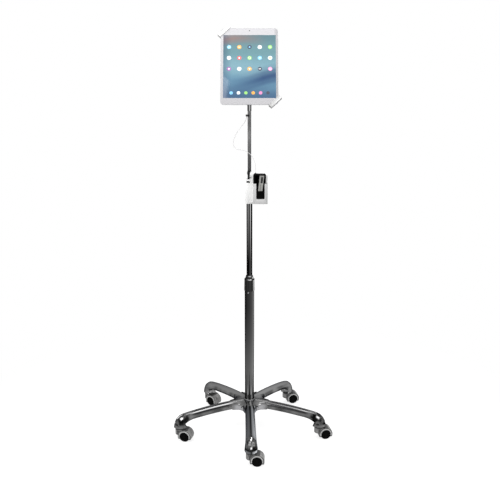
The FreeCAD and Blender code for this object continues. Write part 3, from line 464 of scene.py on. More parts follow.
def upper_tube_chrome():
    """Dark chrome with two narrow painted highlight streaks, which fade towards the twist lock, and painted shade at
    the mouth.
    """
    f = Finish("upper_tube_chrome", colours().tube_shine, 0.12, 1.0)
    f.reflect(0.06, 0.06, 0.06)
    turn = f.round_the_column()
    back = [
        (0.5, 0.02), (0.56, 0.15), (0.62, 0.03), (0.72, 0.2), (0.78, 0.03), (0.88, 0.12), (0.94, 0.03), (1.0, 0.06),
    ]
    high = f.ramp(turn, [
        (0.0, 0.0), (0.14, 0.0), (0.16, 0.30), (0.195, 0.30), (0.207, 0.0), (0.272, 0.0), (0.282, 0.50), (0.320, 0.50),
        (0.332, 0.0), (0.40, 0.0),
    ] + back)
    low = f.ramp(turn, [
        (0.0, 0.0), (0.12, 0.02), (0.15, 0.0), (0.21, 0.0), (0.225, 0.012), (0.262, 0.02), (0.275, 0.06), (0.318, 0.06),
        (0.335, 0.02), (0.42, 0.0),
    ] + back)
    height = f.axis("Z")
    streaks = f.mix(f.range(height, 0.60, 0.76), low, high)
    f.roughen(40.0, 3.0, 0.08, 0.16, (1, 1, 0.2))
    return f.paint(f.mix(f.range(height, 0.860, 0.864), streaks, (0.004, 0.004, 0.004)))


def bright_fitting():
    """Turned bright metal with fine lines round it, and painted reflections that change round the column."""
    f = Finish("bright_fitting", (0.5, 0.5, 0.5), 0.15, 1.0)
    f.reflect(0.15, 0.15, 0.15)
    f.grain(900.0, 2.0, 0.05, 0.0002, (0.1, 0.1, 3))
    return f.paint(f.ramp(f.round_the_column(), [
        (0.0, 0.06), (0.08, 0.01), (0.16, 0.05), (0.205, 0.10), (0.235, 0.42), (0.29, 0.50), (0.32, 0.15), (0.35, 0.02),
        (0.42, 0.02), (0.5, 0.15), (0.6, 0.5), (0.68, 0.05), (0.76, 0.65), (0.84, 0.05), (0.92, 0.4), (1.0, 0.10),
    ]))


def collar_plastic():
    """Glossy near-black with soft lengthwise painted reflections, and a painted lighter right side."""
    f = Finish("collar_gloss", colours().collar, 0.22, 0.3, 0.12)
    f.reflect(0.3, 0.3, 0.3)
    shares = (
        (0.0, 2.0), (0.07, 0.6), (0.13, 0.2), (0.19, 0.8), (0.23, 0.6), (0.27, 1.1), (0.33, 0.6), (0.365, 0.5),
        (0.385, 12.0), (0.47, 14.0), (0.5, 18.0), (0.56, 2.0), (0.7, 0.6), (0.8, 2.6), (0.88, 0.6), (1.0, 2.0),
    )
    f.grain(700.0, 3.0, 0.05, 0.0002)
    return f.paint(f.ramp(f.round_the_column(), [(place, share * colours().collar[0]) for place, share in shares]))


def neck_metal():
    """Satin wound metal with painted light: a highlight along its front, paler towards its top."""
    base = tuple(colours().neck)
    f = Finish("neck_wound_metal", base, 0.34, 0.85, 0.2)
    f.reflect(0.1, 0.1, 0.1)
    shares = ((0.0, 0.45), (0.08, 0.6), (0.25, 0.75), (0.42, 1.1), (0.62, 1.8), (0.78, 1.2), (1.0, 1.7))
    along = f.ramp(f.range(f.axis("Z"), 0.89, 1.09), [(place, share * base[0]) for place, share in shares])
    shade = f.ramp(f.round_the_column(), [
        (0.0, 0.35), (0.08, 0.55), (0.2, 0.95), (0.25, 1.05), (0.3, 0.9), (0.42, 0.55), (0.5, 0.4), (0.7, 1.0),
        (0.85, 0.5), (1.0, 0.35),
    ])
    f.grain(1800.0, 2.0, 0.06, 0.0001)
    return f.paint(f.times(along, shade))


def holder_paint():
    """Off-white powder coat of the bar and jaws, with painted shade that makes it a little greyer at the lower jaw."""
    base = tuple(colours().white_paint)
    f = Finish("holder_powder_coat", base, 0.38)
    f.grain(650.0, 2.0, 0.10, 0.0003)
    return f.paint(f.shaded(base, f.range(f.axis("Z"), 1.09, 1.31, 0.58, 0.70)))


def pocket_paint():
    """Light grey powder coat of the pocket, with painted shade darker towards its sides."""
    base = tuple(colours().pocket)
    f = Finish("pocket_powder_coat", base, 0.40)
    side_shade = f.ramp(f.range(f.axis("X"), 0.0014, 0.0577), [
        (0.0, 0.90), (0.08, 0.95), (0.22, 1.08), (0.8, 1.08), (0.92, 0.96), (1.0, 0.92),
    ])
    f.grain(650.0, 2.0, 0.10, 0.0003)
    return f.cloud(f.times(base, side_shade), 30.0, 2.0, 0.96, 1.02)


def tablet_border():
    """Pale border under glass, with painted shade darker towards the lower edge and along the right one."""
    base = tuple(colours().tablet)
    f = Finish("tablet_border", base, 0.08, 0.0, 0.3)
    f.set("Coat Weight", 0.6)
    f.set("Coat Roughness", 0.03)
    height = f.range(f.axis("Z"), 1.085, 1.31, 0.80, 1.04)
    right = f.range(f.axis("X"), 0.074, 0.082, 1.0, 0.74)
    return f.paint(f.shaded(base, f.product(height, right)))


def screen_picture():
    """A generic screen: teal over blue, with a light, a dark blue and a warm swell across it."""
    f = Finish("screen_picture", (0.2, 0.3, 0.35), 0.10, 0.0, 0.3)
    place = f.node("ShaderNodeUVMap", uv_map="screen").outputs["UV"]
    u, v = f.part(place, "X"), f.part(place, "Y")

    def swell(height, rise, pace, start, reach):
        """1 along a slow wave across the screen, fading to 0 at the reach above and below it."""
        wave = f.maths("SINE", f.maths("ADD", f.product(u, pace), start))
        away = f.maths("ABSOLUTE", f.maths("SUBTRACT", v, f.maths("ADD", f.product(wave, rise), height)))
        return f.ramp(f.range(away, 0.0, reach), [(0.0, 1.0), (0.35, 0.72), (0.7, 0.2), (1.0, 0.0)], smooth=True)

    picture = f.ramp(v, [
        (0.0, (0.07, 0.15, 0.27)), (0.25, (0.15, 0.31, 0.44)), (0.5, (0.22, 0.41, 0.49)), (0.75, (0.17, 0.33, 0.37)),
        (1.0, (0.13, 0.24, 0.28)),
    ], smooth=True)
    picture = f.mix(f.product(swell(0.47, 0.06, 3.0, 2.2, 0.20), 0.35), picture, (0.30, 0.48, 0.56))
    deep = f.product(swell(0.27, 0.10, 2.8, 4.6, 0.21), f.range(u, 0.05, 0.75, 0.15, 0.85))
    picture = f.mix(deep, picture, (0.014, 0.05, 0.17))
    warm = f.product(swell(0.90, 0.05, 3.4, 0.4, 0.13), f.range(u, 0.85, 0.2, 0.0, 0.55))
    picture = f.mix(warm, picture, (0.42, 0.19, 0.14))
    picture = f.mix(f.range(u, 0.0, 0.16, 0.45, 0.0), picture, (0.035, 0.055, 0.14))
    f.link(picture, f.shader.inputs["Emission Color"])
    f.set("Emission Strength", 0.66)
    return f.paint(f.times(picture, (0.30, 0.30, 0.30)))


def sign_finish(name, base):
    """Flat colour of a sign, a little lighter towards the top of the screen."""
    f = Finish(name, base, 0.2)
    f.set("Emission Color", (*base, 1))
    f.set("Emission Strength", 0.22)
    return f.paint(f.shaded(base, f.range(f.axis("Z"), 1.05, 1.32, 0.85, 1.1)))


def scanner_silver():
    """Silver strip, black along its sides, with painted shade round the button and along a groove below it."""
    base = tuple(colours().insert)
    f = Finish("scanner_silver", base, 0.36, 0.3, 0.3)
    height = f.axis("Z")
    middle = f.range(height, 0.838, 0.884, 0.0339, 0.0394)
    off = f.maths("ABSOLUTE", f.maths("SUBTRACT", f.axis("X"), middle))
    in_groove = f.ramp(f.range(off, 0.0, 0.004), [(0.1, 1.0), (0.5, 0.0)])
    groove = f.product(in_groove, f.range(height, 0.864, 0.856))
    shade = f.product(
        f.range(f.noise(60.0, 3.0), 0.3, 0.7, 0.9, 1.1), f.range(groove, 0.0, 1.0, 1.0, 0.55),
        f.range(height, 0.86, 0.885, 1.0, 0.85),
    )
    f.grain(2200.0, 2.0, 0.08, 0.0001)
    return f.paint(f.mix(f.range(off, 0.0066, 0.0074), f.shaded(base, shade), tuple(colours().scanner)))


# Plain finishes: name, colour, roughness, metal, gloss; scale, detail, darkest and lightest of the clouds;
# scale, detail, strength and depth of the grain
BLACK_CLOUD, BLACK_GRAIN = (80.0, 3.0, 0.7, 1.3), (1400.0, 3.0, 0.15, 0.0002)
plain_steel = plain(
    "plain_steel", (0.34, 0.34, 0.35), 0.28, 1.0, 0.5, (300.0, 4.0, 0.8, 1.15), (1500.0, 2.0, 0.08, 0.0001)
)
hood_plastic = plain("hood_grey", "hood", 0.42, 0.25, 0.3, (75.0, 3.0, 0.55, 1.35), (1100.0, 3.0, 0.12, 0.0002))
hood_lip = plain("hood_lip_grey", "lip", 0.34, 0.0, 0.5, (90.0, 3.0, 0.92, 1.06), (900.0, 3.0, 0.08, 0.0002))
# Painted shade: near-black for the hoods' flat sides and necks and for the washers, where the gaps lie in shade
hood_shadow = plain("hood_seam_dark", (0.03, 0.03, 0.03), 0.6, 0.0, 0.5, (200.0, 3.0, 0.7, 1.2))
wheel_rubber = plain("wheel_rubber", "wheel", 0.6, 0.0, 0.02, (140.0, 4.0, 0.6, 1.6), (1300.0, 4.0, 0.2, 0.0002))
nut_black = plain("nut_black", (0.012, 0.012, 0.012), 0.34, 0.4, 0.1, BLACK_CLOUD, BLACK_GRAIN)
black_fitting = plain("black_fitting", "fitting", 0.36, 0.4, 0.4, BLACK_CLOUD, BLACK_GRAIN)
white_paint = plain(
    "white_powder_coat", "white_paint", 0.38, 0.0, 0.5, (30.0, 2.0, 0.97, 1.01), (650.0, 2.0, 0.10, 0.0003)
)
inner_plastic = plain("inner_plastic", (0.10, 0.10, 0.10), 0.45, 0.0, 0.5, (120.0, 3.0, 0.85, 1.1))
tablet_shell = plain(
    "tablet_shell", (0.62, 0.62, 0.64), 0.32, 0.7, 0.5, (45.0, 2.0, 0.95, 1.03), (2600.0, 2.0, 0.06, 0.0001)
)
lens_black = plain("lens_black", (0.008, 0.008, 0.012), 0.06, 0.0, 0.6, (500.0, 2.0, 0.8, 1.2))
scanner_black = plain(
    "scanner_black", "scanner", 0.42, 0.0, 0.03, (110.0, 3.0, 0.6, 1.5), (1500.0, 3.0, 0.12, 0.0002)
)
scan_window = plain("scan_window_red", (0.012, 0.001, 0.001), 0.05, 0.0, 0.4, (300.0, 2.0, 0.7, 1.2))
cord_plastic = plain("cord_white", "cord", 0.35, 0.0, 0.5, (220.0, 2.0, 0.94, 1.03), (1400.0, 2.0, 0.06, 0.0001))


made_finishes = {}


def finish(maker):
    """The finish that a maker gives, made once."""
    if maker not in made_finishes:
        made_finishes[maker] = maker()
    return made_finishes[maker]


# Shapes, in millimetres


def softened(corners, radius, steps=4):
    """Round the corners of a closed outline. A third number in a corner is its own rounding."""
    out = []
    for i, corner in enumerate(corners):
        own = corner[2] if len(corner) > 2 else radius
        here = Vector(corner[:2])
        before = Vector(corners[i - 1][:2]) - here
        after = Vector(corners[(i + 1) % len(corners)][:2]) - here
        cut = min(own, 0.48 * before.length, 0.48 * after.length)
        if cut < 1e-4:
            out.append(tuple(here))
            continue
        start, end = here + before.normalized() * cut, here + after.normalized() * cut
        for k in range(steps + 1):
            t = k / steps
            out.append(tuple(start * (1 - t) ** 2 + here * 2 * t * (1 - t) + end * t * t))
    return out


def turned(outline, steps=96, about=None):
    """A closed surface turned about Z from (radius, z) corners, then laid by a matrix."""
    shape = bmesh.new()
    rings = []
    for radius, z in outline:
        count = 1 if radius < 1e-6 else steps
        angles = [2 * math.pi * i / count for i in range(count)]
        rings.append([shape.verts.new((radius * math.cos(a), radius * math.sin(a), z)) for a in angles])
    for low, high in zip(rings, rings[1:] + rings[:1]):
        if len(low) == 1 and len(high) == 1:
            continue
        for i in range(steps):
            corners = [low[i % len(low)], low[(i + 1) % len(low)], high[(i + 1) % len(high)], high[i % len(high)]]
            shape.faces.new(list(dict.fromkeys(corners)))
    if about:
        shape.transform(about)
    return shape


def skinned(rings):
    """A closed surface over rings of equal counts, with its two ends capped."""
    shape = bmesh.new()
    made = [[shape.verts.new(p) for p in ring] for ring in rings]
    count = len(made[0])
    for low, high in zip(made, made[1:]):
        for i in range(count):
            j = (i + 1) % count
            shape.faces.new((low[i], low[j], high[j], high[i]))
    shape.faces.new(made[0])
    shape.faces.new(made[-1])
    return shape


def block(x0, x1, y0, y1, z0, z1, ease=0.4, steps=2):
    """A box with all its edges rounded."""
    shape = bmesh.new()
    bmesh.ops.create_cube(shape, size=1)
    middle = Vector(((x0 + x1) / 2, (y0 + y1) / 2, (z0 + z1) / 2))
    bmesh.ops.scale(shape, vec=(x1 - x0, y1 - y0, z1 - z0), verts=shape.verts)
    bmesh.ops.translate(shape, vec=middle, verts=shape.verts)
    if ease:
        bmesh.ops.bevel(shape, geom=shape.edges[:], offset=ease, segments=steps, profile=0.5, affect="EDGES")
    return shape


def drum(radius, low, high, steps=32, about=None, bore=0.0, ease=0.0, arc=4):
    """A plain turned disc or, with a bore, a plain turned ring, its rim rounded."""
    own = () if bore else (0,)
    outline = [(bore, low, *own), (radius, low), (radius, high), (bore, high, *own)]
    return turned(softened(outline, ease, arc), steps, about)


def together(*shapes):
    """Several closed surfaces in one."""
    whole = bmesh.new()
    for shape in shapes:
        step = bpy.data.meshes.new("step")
        shape.to_mesh(step)
        whole.from_mesh(step)
        bpy.data.meshes.remove(step)
        shape.free()
    return whole


def moved(shape, matrix):
    shape.transform(matrix)
    return shape


def carved(shape, others, operation="DIFFERENCE"):
    """One surface cut by, or joined with, others."""
    scene = bpy.context.scene.collection

    def as_object(part):
        bmesh.ops.recalc_face_normals(part, faces=part.faces)
        mesh = bpy.data.meshes.new("step")
        part.to_mesh(mesh)
        part.free()
        made = bpy.data.objects.new("step", mesh)
        scene.objects.link(made)
        return made

    base = as_object(shape)
    cutters = [as_object(other) for other in others]
    for cutter in cutters:
        modifier = base.modifiers.new("cut", "BOOLEAN")
        modifier.operation = operation
        modifier.solver = "EXACT"
        modifier.object = cutter
    bpy.context.view_layer.update()
    result = bpy.data.meshes.new_from_object(base.evaluated_get(bpy.context.evaluated_depsgraph_get()))
    whole = bmesh.new()
    whole.from_mesh(result)
    bpy.data.meshes.remove(result)
    for made in [base] + cutters:
        mesh = made.data
        bpy.data.objects.remove(made)
        bpy.data.meshes.remove(mesh)
    bmesh.ops.remove_doubles(whole, verts=whole.verts, dist=1e-4)
    return whole


def from_frame(node, share):
    """The frame's own solid, its flat faces made whole and its sharp edges rounded by a share of the small edge."""
    sharp_from = math.radians(32.0)
    shape = bmesh.new()
    shape.from_mesh(frame["nodes"][node].data)
    bmesh.ops.scale(shape, vec=(1 / MM,) * 3, verts=shape.verts)
    bmesh.ops.remove_doubles(shape, verts=shape.verts, dist=1e-3)
    bmesh.ops.dissolve_limit(shape, angle_limit=math.radians(0.6), verts=shape.verts, edges=shape.edges)
    width = share * sizes().small_edge / MM
    sharp = [e for e in shape.edges if len(e.link_faces) == 2 and e.calc_face_angle(0) > sharp_from]
    if width and sharp:
        bmesh.ops.bevel(shape, geom=sharp, offset=width, segments=2, profile=0.5, affect="EDGES", clamp_overlap=True)
    return shape


def piece(name, shape, finishes, body, stands_for=(), sharp=35.0, place=None):
    """Make an object of a surface in millimetres, and let it ride on a body in the place of the frame's nodes."""
    if place:
        shape.transform(place)
    bmesh.ops.recalc_face_normals(shape, faces=shape.faces)
    bmesh.ops.scale(shape, vec=(MM,) * 3, verts=shape.verts)
    mesh = bpy.data.meshes.new(name)
    shape.to_mesh(mesh)
    shape.free()
    for maker in finishes:
        mesh.materials.append(finish(maker) if callable(maker) else maker)
    mesh.shade_smooth()
    mesh.set_sharp_from_angle(angle=math.radians(sharp))
    made = bpy.data.objects.new(name, mesh)
    bpy.context.scene.collection.objects.link(made)
    if body:
        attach(made, body)
    if stands_for:
        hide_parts(*stands_for)
    return made


def dress(node, maker):
    """Give a node of the frame its finish."""
    mesh_object = frame["nodes"][node]
    if not mesh_object.material_slots:
        mesh_object.data.materials.append(None)
    for slot in mesh_object.material_slots:
        slot.material = finish(maker)


def laid(place, degrees, axis):
    """A matrix that turns a shape about an axis through the origin, then moves it to a place."""
    return Matrix.Translation(place) @ Matrix.Rotation(math.radians(degrees), 4, axis)


def about_axle(y=0.0):
    """Lay a shape that stands on Z along the wheels' axle."""
    return laid((CASTER_TRAIL, y, FLOOR_TO_AXLE), -90, "X")


def leg_turn(stand):
    """Turn a shape drawn along X to its leg."""
    return Matrix.Rotation(math.radians(stand + LEG_YAW), 4, "Z")


def caster_place(stand, trail):
    """The frame of a caster: its swivel pin's axis, turned the way the caster trails."""
    angle = math.radians(stand + LEG_YAW)
    return laid((SWIVEL_CIRCLE_R * math.cos(angle), SWIVEL_CIRCLE_R * math.sin(angle), 0), trail, "Z")


def head_place():
    """The head's own upright frame, leaned back about the tilt pin."""
    return laid(PIVOT, -HEAD_LEAN, "X")


def diagonal_place():
    """The frame of what lies along the tablet's diagonal."""
    return head_place() @ Matrix.Rotation(-math.atan2(TABLET_W / 2, TABLET_H / 2), 4, "Y")


# Star base


LEG_ROOT_R = 20.0
LEG_RUN = 188.0
LEG_WIDTH = 33.0
LEG_CROWN_AT_HUB = 112.0
LEG_ARCH_DROP = 17.5
LEG_THICK_AT_HUB = 27.0
LEG_THICK_AT_ELBOW = 25.0
LEG_WIDENING = 2.0
ELBOW_CENTRE = Vector((221.5, 0, 45.5))
ELBOW_REACH = 47.0
ELBOW_RISE = 49.0 * 0.94
ELBOW_INNER_R = 4.0
ELBOW_INNER_GROWTH = 13.0
LEG_END_WIDTH = 43.0
LEG_END_NARROWING = 7.0
HUB_BOSS_R = 20.0
HUB_BOSS_BOTTOM = 65.0
HUB_BOSS_TOP = 86.0
HUB_COLLAR_BOTTOM = 100.0
HUB_COLLAR_TOP = 113.5
HUB_COLLAR_R = 21.5
HUB_COLLAR_TAPER = 1.0
WEB_HALF_WIDTH = 16.4
WEB_FILLET = 34.4
SWIVEL_PIN_BOTTOM = 33.0
SWIVEL_PIN_TOP = 50.0
WASHER_R = 12.5
WASHER_BOTTOM = 43.2
WASHER_TOP = 45.4


def leg_ring(foot, crown, width, crease):
    """One section of a leg, its corners rounded by the crease, and more so low on its sides."""
    half = [(0.0, 1.0), (0.25, 0.91), (0.43, 0.68), (0.5, 0.40), (0.38, 0.0)]
    deep = (crown - foot).length
    flat = [(across * width, up * deep) for across, up in half]
    flat += [(-x, z) for x, z in reversed(flat[1:])]
    blunt = 0, 4, 5
    round_corners = [(x, z, crease * (2.2 if i in blunt else 1.0)) for i, (x, z) in enumerate(flat)]
    along = (crown - foot).normalized()
    return [foot + along * z + Vector((0, x, 0)) for x, z in softened(round_corners, crease, 3)]


def leg_keys():
    """Foot, crown and width of the leg's sections, from the hub to the drop-shaped end."""
    keys = []
    for share in (0.0, 0.2, 0.4, 0.6, 0.8, 1.0):
        r = LEG_ROOT_R + LEG_RUN * share
        crown = LEG_CROWN_AT_HUB - LEG_ARCH_DROP * share**1.8
        foot = crown - LEG_THICK_AT_HUB + (LEG_THICK_AT_HUB - LEG_THICK_AT_ELBOW) * share
        keys.append((Vector((r, 0, foot)), Vector((r, 0, crown)), LEG_WIDTH + LEG_WIDENING * share**4))
    for degrees in (66.0, 42.0, 20.0, 0.0):
        a = math.radians(degrees)
        crown = ELBOW_CENTRE + Vector((ELBOW_REACH * math.cos(a), 0, ELBOW_RISE * math.sin(a)))
        inner = ELBOW_INNER_R + ELBOW_INNER_GROWTH * math.sin(a)
        foot = ELBOW_CENTRE + Vector((inner * math.cos(a), 0, inner * math.sin(a)))
        keys.append((foot, crown, LEG_END_WIDTH - LEG_END_NARROWING * math.sin(a) ** 2))
    return keys


def between(keys, steps):
    """Smooth values through the keys."""
    padded = [keys[0]] + keys + [keys[-1]]
    out = []
    for a, b, c, d in zip(padded, padded[1:], padded[2:], padded[3:]):
        for k in range(steps):
            t = k / steps
            out.append([
                0.5 * (2 * q + (r - p) * t + (2 * p - 5 * q + 4 * r - s) * t**2 + (3 * q - p - 3 * r + s) * t**3)
                for p, q, r, s in zip(a, b, c, d)
            ])
    out.append(list(keys[-1]))
    return out


def leg():
    """One leg, drawn along X."""
    crease = sizes().crease / MM
    return skinned([leg_ring(*values, crease) for values in between(leg_keys(), 5)])


def hub_web():
    """Star-shaped web that joins the legs round the column with round crotches."""
    half_turn, steps = 180 / LEG_COUNT, 12
    reach = (WEB_HALF_WIDTH + WEB_FILLET) / math.sin(math.radians(half_turn))
    outline = []
    for i in range(LEG_COUNT):
        middle = math.radians(half_turn * (2 * i + 1))
        centre = Vector((reach * math.cos(middle), reach * math.sin(middle)))
        for k in range(steps + 1):
            turn = middle + math.pi + math.radians((90 - half_turn) * (2 * k / steps - 1))
            outline.append(centre + WEB_FILLET * Vector((math.cos(turn), math.sin(turn))))
    # Height of each level and its share of the full outline, from the underside to the top
    levels = (
        (83.2, 0.36), (83.5, 0.93), (85.5, 0.975), (89.0, 1.0), (97.0, 1.0), (102.0, 0.985), (105.5, 0.95),
        (107.6, 0.89), (108.6, 0.80), (109.2, 0.62), (109.4, 0.36),
    )
    return skinned([[Vector((p.x * grow, p.y * grow, z)) for p in outline] for z, grow in levels])


def build_star_base():
    """One casting: boss, web, legs, the casters' pins and the collar round the column, and the pins' washers."""
    inner = LOWER_TUBE_R + 0.025
    collar = [(inner, HUB_COLLAR_BOTTOM), (HUB_COLLAR_R, HUB_COLLAR_BOTTOM),
              (HUB_COLLAR_R - HUB_COLLAR_TAPER, HUB_COLLAR_TOP), (inner, HUB_COLLAR_TOP)]
    boss = drum(HUB_BOSS_R, HUB_BOSS_BOTTOM, HUB_BOSS_TOP, 64, ease=1.6)
    parts = [boss, moved(hub_web(), leg_turn(CASTERS["front"][0]))]
    for stand, _ in CASTERS.values():
        at_end = leg_turn(stand) @ Matrix.Translation((SWIVEL_CIRCLE_R, 0, 0))
        pin = drum(SWIVEL_PIN_R, SWIVEL_PIN_BOTTOM, SWIVEL_PIN_TOP, 40, at_end, ease=0.6)
        parts += [moved(leg(), leg_turn(stand)), pin]
    parts.append(turned(softened(collar, 1.6), 72))
    piece("star_base_cast", together(*parts), [polished_base], "base", ["star_base"], 42.0)
    dress("hub_bolt", plain_steel)
    dress("foot_nut", plain_steel)
    # Washers in the gap under each leg's end, painted near-black as its shade
    washers = [
        drum(WASHER_R, WASHER_BOTTOM, WASHER_TOP, 64, caster_place(stand, 0), SWIVEL_PIN_R + PLAY, 0.4, 2)
        for stand, _ in CASTERS.values()
    ]
    piece("swivel_washers", together(*washers), [hood_shadow], "base", (), 40.0)


# Casters


HOOD_R = 23.5
HOOD_HALF = 17.6
HOOD_CUT_Z = 9.0
WHEEL_POCKET_R = 18.5
WHEEL_R = 18.0
WHEEL_NEAR = 3.4
WHEEL_FAR = 17.2
AXLE_R = 2.0
# A hood's neck above this height is painted dark as the shade of the gap under its leg
GAP_SHADE_Z = 39.4
POCKET_FROM_MIDDLE = 3.0
POCKET_DEPTH = 20.0


def hood_shape():
    """Moulded hood: crown over both wheels, web, swivel boss and the pockets for the wheels."""
    edge = sizes().hood_edge / MM
    crown = drum(HOOD_R, -HOOD_HALF, HOOD_HALF, 128, about_axle(), ease=edge * 1.6, arc=5)
    boss = turned(softened([(0, 21, 0), (17, 21), (17, 39, 3), (14.2, 40.2, 1), (13.2, 43), (0, 43, 0)], 1.0, 4), 96)
    shoulder = block(-10, 14, -15.5, 15.5, 24, 38.5, 5.0, 4)
    hood = carved(crown, [boss, shoulder], "UNION")
    starts = POCKET_FROM_MIDDLE, -POCKET_FROM_MIDDLE - POCKET_DEPTH
    pockets = [drum(WHEEL_POCKET_R, 0, POCKET_DEPTH, 128, about_axle(y)) for y in starts]
    below = block(-80, 80, -80, 80, -80, HOOD_CUT_Z, 0)
    stem = drum(SWIVEL_PIN_R + PLAY, 32.7, 46, 48)
    axle = drum(AXLE_R + PLAY, -20, 20, 32, about_axle())
    return carved(hood, pockets + [below, stem, axle])


def hood_lip_shape():
    """Light ring along the hood's side, round the upper part of the wheel."""
    inner, outer = sizes().lip_inner / MM, sizes().lip_outer / MM
    flat = softened([(inner, 18.0), (inner, 19.0), (outer, 19.2), (outer, 17.3), (18.9, 17.3), (18.9, 18.0)], 0.35, 3)
    first, sweep, steps = -14, 208, 60
    shapes = []
    for sign in (1, -1):
        rings = []
        for k in range(steps + 1):
            a = math.radians(first + sweep * k / steps)
            out, up = math.cos(a), math.sin(a)
            rings.append([Vector((CASTER_TRAIL + r * out, sign * y, FLOOR_TO_AXLE + r * up)) for r, y in flat])
        shapes.append(skinned(rings))
    return together(*shapes)


def wheel_shape():
    """Two wheels with dished hubs on one axle."""
    outline = [
        (0, WHEEL_NEAR, 0), (7, WHEEL_NEAR), (7, 4.4), (14, 4.4), (14, WHEEL_NEAR), (WHEEL_R, WHEEL_NEAR, 1.4),
        (WHEEL_R, WHEEL_FAR, 2.0), (15.2, WHEEL_FAR, 0.5), (14.6, 16.5, 0.3), (6.6, 15.8, 0.3), (6.0, 16.9, 0.5),
        (0, 17.1, 0),
    ]
    spokes = 6
    shapes = [drum(AXLE_R, -4, 4, 32, about_axle())]
    for mirror in (1, -1):
        wheel = turned(softened(outline, 0.4, 4), 96)
        for i in range(spokes):
            rib = block(6.2, 14.8, -0.7, 0.7, 15.3, 16.65, 0.3)
            wheel = together(wheel, moved(rib, Matrix.Rotation(math.radians(360 / spokes * i), 4, "Z")))
        shapes.append(moved(wheel, about_axle() @ Matrix.Diagonal((1, 1, mirror, 1))))
    return together(*shapes)


def build_casters():
    """Hoods, their light rings and their wheels; the hoods' flat sides and necks carry painted shade."""
    hood, lip, wheels = hood_shape(), hood_lip_shape(), wheel_shape()
    for name, spec in CASTERS.items():
        place = caster_place(*spec)
        made = piece(f"hood_{name}", hood.copy(), [hood_plastic, hood_shadow], f"caster_{name}",
                     [f"caster_hood_{name}"], 38.0, place)
        side = place.to_3x3() @ Vector((0, 1, 0))
        for polygon in made.data.polygons:
            # Flat sides and the neck's top get the painted shade
            if abs(polygon.normal.dot(side)) > 0.93 or polygon.center.z > GAP_SHADE_Z * MM:
                polygon.material_index = 1
        piece(f"hood_lip_{name}", lip.copy(), [hood_lip], f"caster_{name}", (), 40.0, place)
        piece(f"wheel_pair_{name}", wheels.copy(), [wheel_rubber], f"wheels_{name}", [f"caster_wheels_{name}"],
              40.0, place)


# Column and twist lock


def build_column():
    """Lower tube, upper tube with its foot, and the white ring on its mouth."""
    low = drum(LOWER_TUBE_R, 84, LOWER_TUBE_TOP, 144, bore=LOWER_TUBE_R - TUBE_WALL, ease=0.4, arc=3)
    piece("lower_tube", low, [lower_tube_chrome], "base", ["column_lower"])
    bore, foot, foot_r = UPPER_TUBE_R - TUBE_WALL, 385.0, 12.0
    high = [(bore, foot), (foot_r, foot), (foot_r, foot + 2, 0.5), (UPPER_TUBE_R, foot + 2.2),
            (UPPER_TUBE_R, UPPER_TUBE_TOP), (bore, UPPER_TUBE_TOP)]
    piece("upper_tube", turned(softened(high, 0.3, 3), 128), [upper_tube_chrome], "column", ["column_upper"])
    band = [(9.6, 865.2), (11.2, 865.2), (11.3, 870.6), (9.6, 870.6)]
    piece("tube_mouth_band", turned(softened(band, 0.5, 3), 96), [white_paint], "column", ())
    dress("guide_bush", inner_plastic)


def build_twist_lock():
    """Tapered collar with two bright rims that carry painted highlights, the collet inside it, and the small screw
    below it.
    """
    skirt = [(16.2, 499.2), (17.35, 499.0, 0.6), (17.55, 501.5, 0.8), (16.75, 537.2, 0.3), (16.1, 539.0, 0.4),
             (14.6, 539.6, 0.3), (14.35, 541, 0.6), (10.9, 550.4, 0.6), (10.6, 551, 0.3), (9.85, 551), (9.85, 536.5),
             (14.7, 536.5), (14.7, 512.5), (16.2, 512.5)]
    piece("twist_collar", turned(softened(skirt, 0.3, 3), 128), [collar_plastic], "collar", ["lock_collar"],
          30.0)
    # Bright rings over the skirt's top edge and the nose, carrying painted highlights
    rim = [(16.62, 536.4), (16.95, 536.6), (16.4, 539.4), (14.9, 540.4), (14.8, 539.3)]
    crest = [(11.3, 546.6), (12.2, 546.8), (11.2, 550.6), (10.5, 551.0), (10.4, 547.5)]
    rings = [turned(softened(ring, 0.1, 2), 128) for ring in (rim, crest)]
    piece("twist_collar_rims", together(*rings), [bright_fitting], "collar", ())
    dress("lock_collet", inner_plastic)
    screw_z, screw_yaw, slot_half, slot_narrow = 494.0, -14.6, 1.3, 0.28
    screw = turned(softened([(0, 0, 0), (2.2, 0), (2.2, 0.7, 0.5), (1.2, 1.25, 0.4), (0, 1.3, 0)], 0.1, 3), 40)
    slots = [block(-x, x, -y, y, 0.95, 1.6, 0.05) for x, y in ((slot_half, slot_narrow), (slot_narrow, slot_half))]
    place = Matrix.Rotation(math.radians(screw_yaw), 4, "Z") @ laid((0, 0.025 - LOWER_TUBE_R, screw_z), 90, "X")
    piece("collet_screw", carved(together(screw, drum(1.25, -2, 0.2)), slots), [plain_steel], "base", ["lock_screw"],
          30.0, place)


# Neck


def neck_radius(z):
    """Radius of the wound neck, with a groove between its turns and at each bending place."""
    step = (NECK_TOP - NECK_BOTTOM) / NECK_LINKS
    pitch = step / round(step / (sizes().rib_pitch / MM))
    wave = 0.5 + 0.5 * math.cos(2 * math.pi * (z - NECK_BOTTOM) / pitch)
    return NECK_R - sizes().rib_depth / MM * wave**1.5


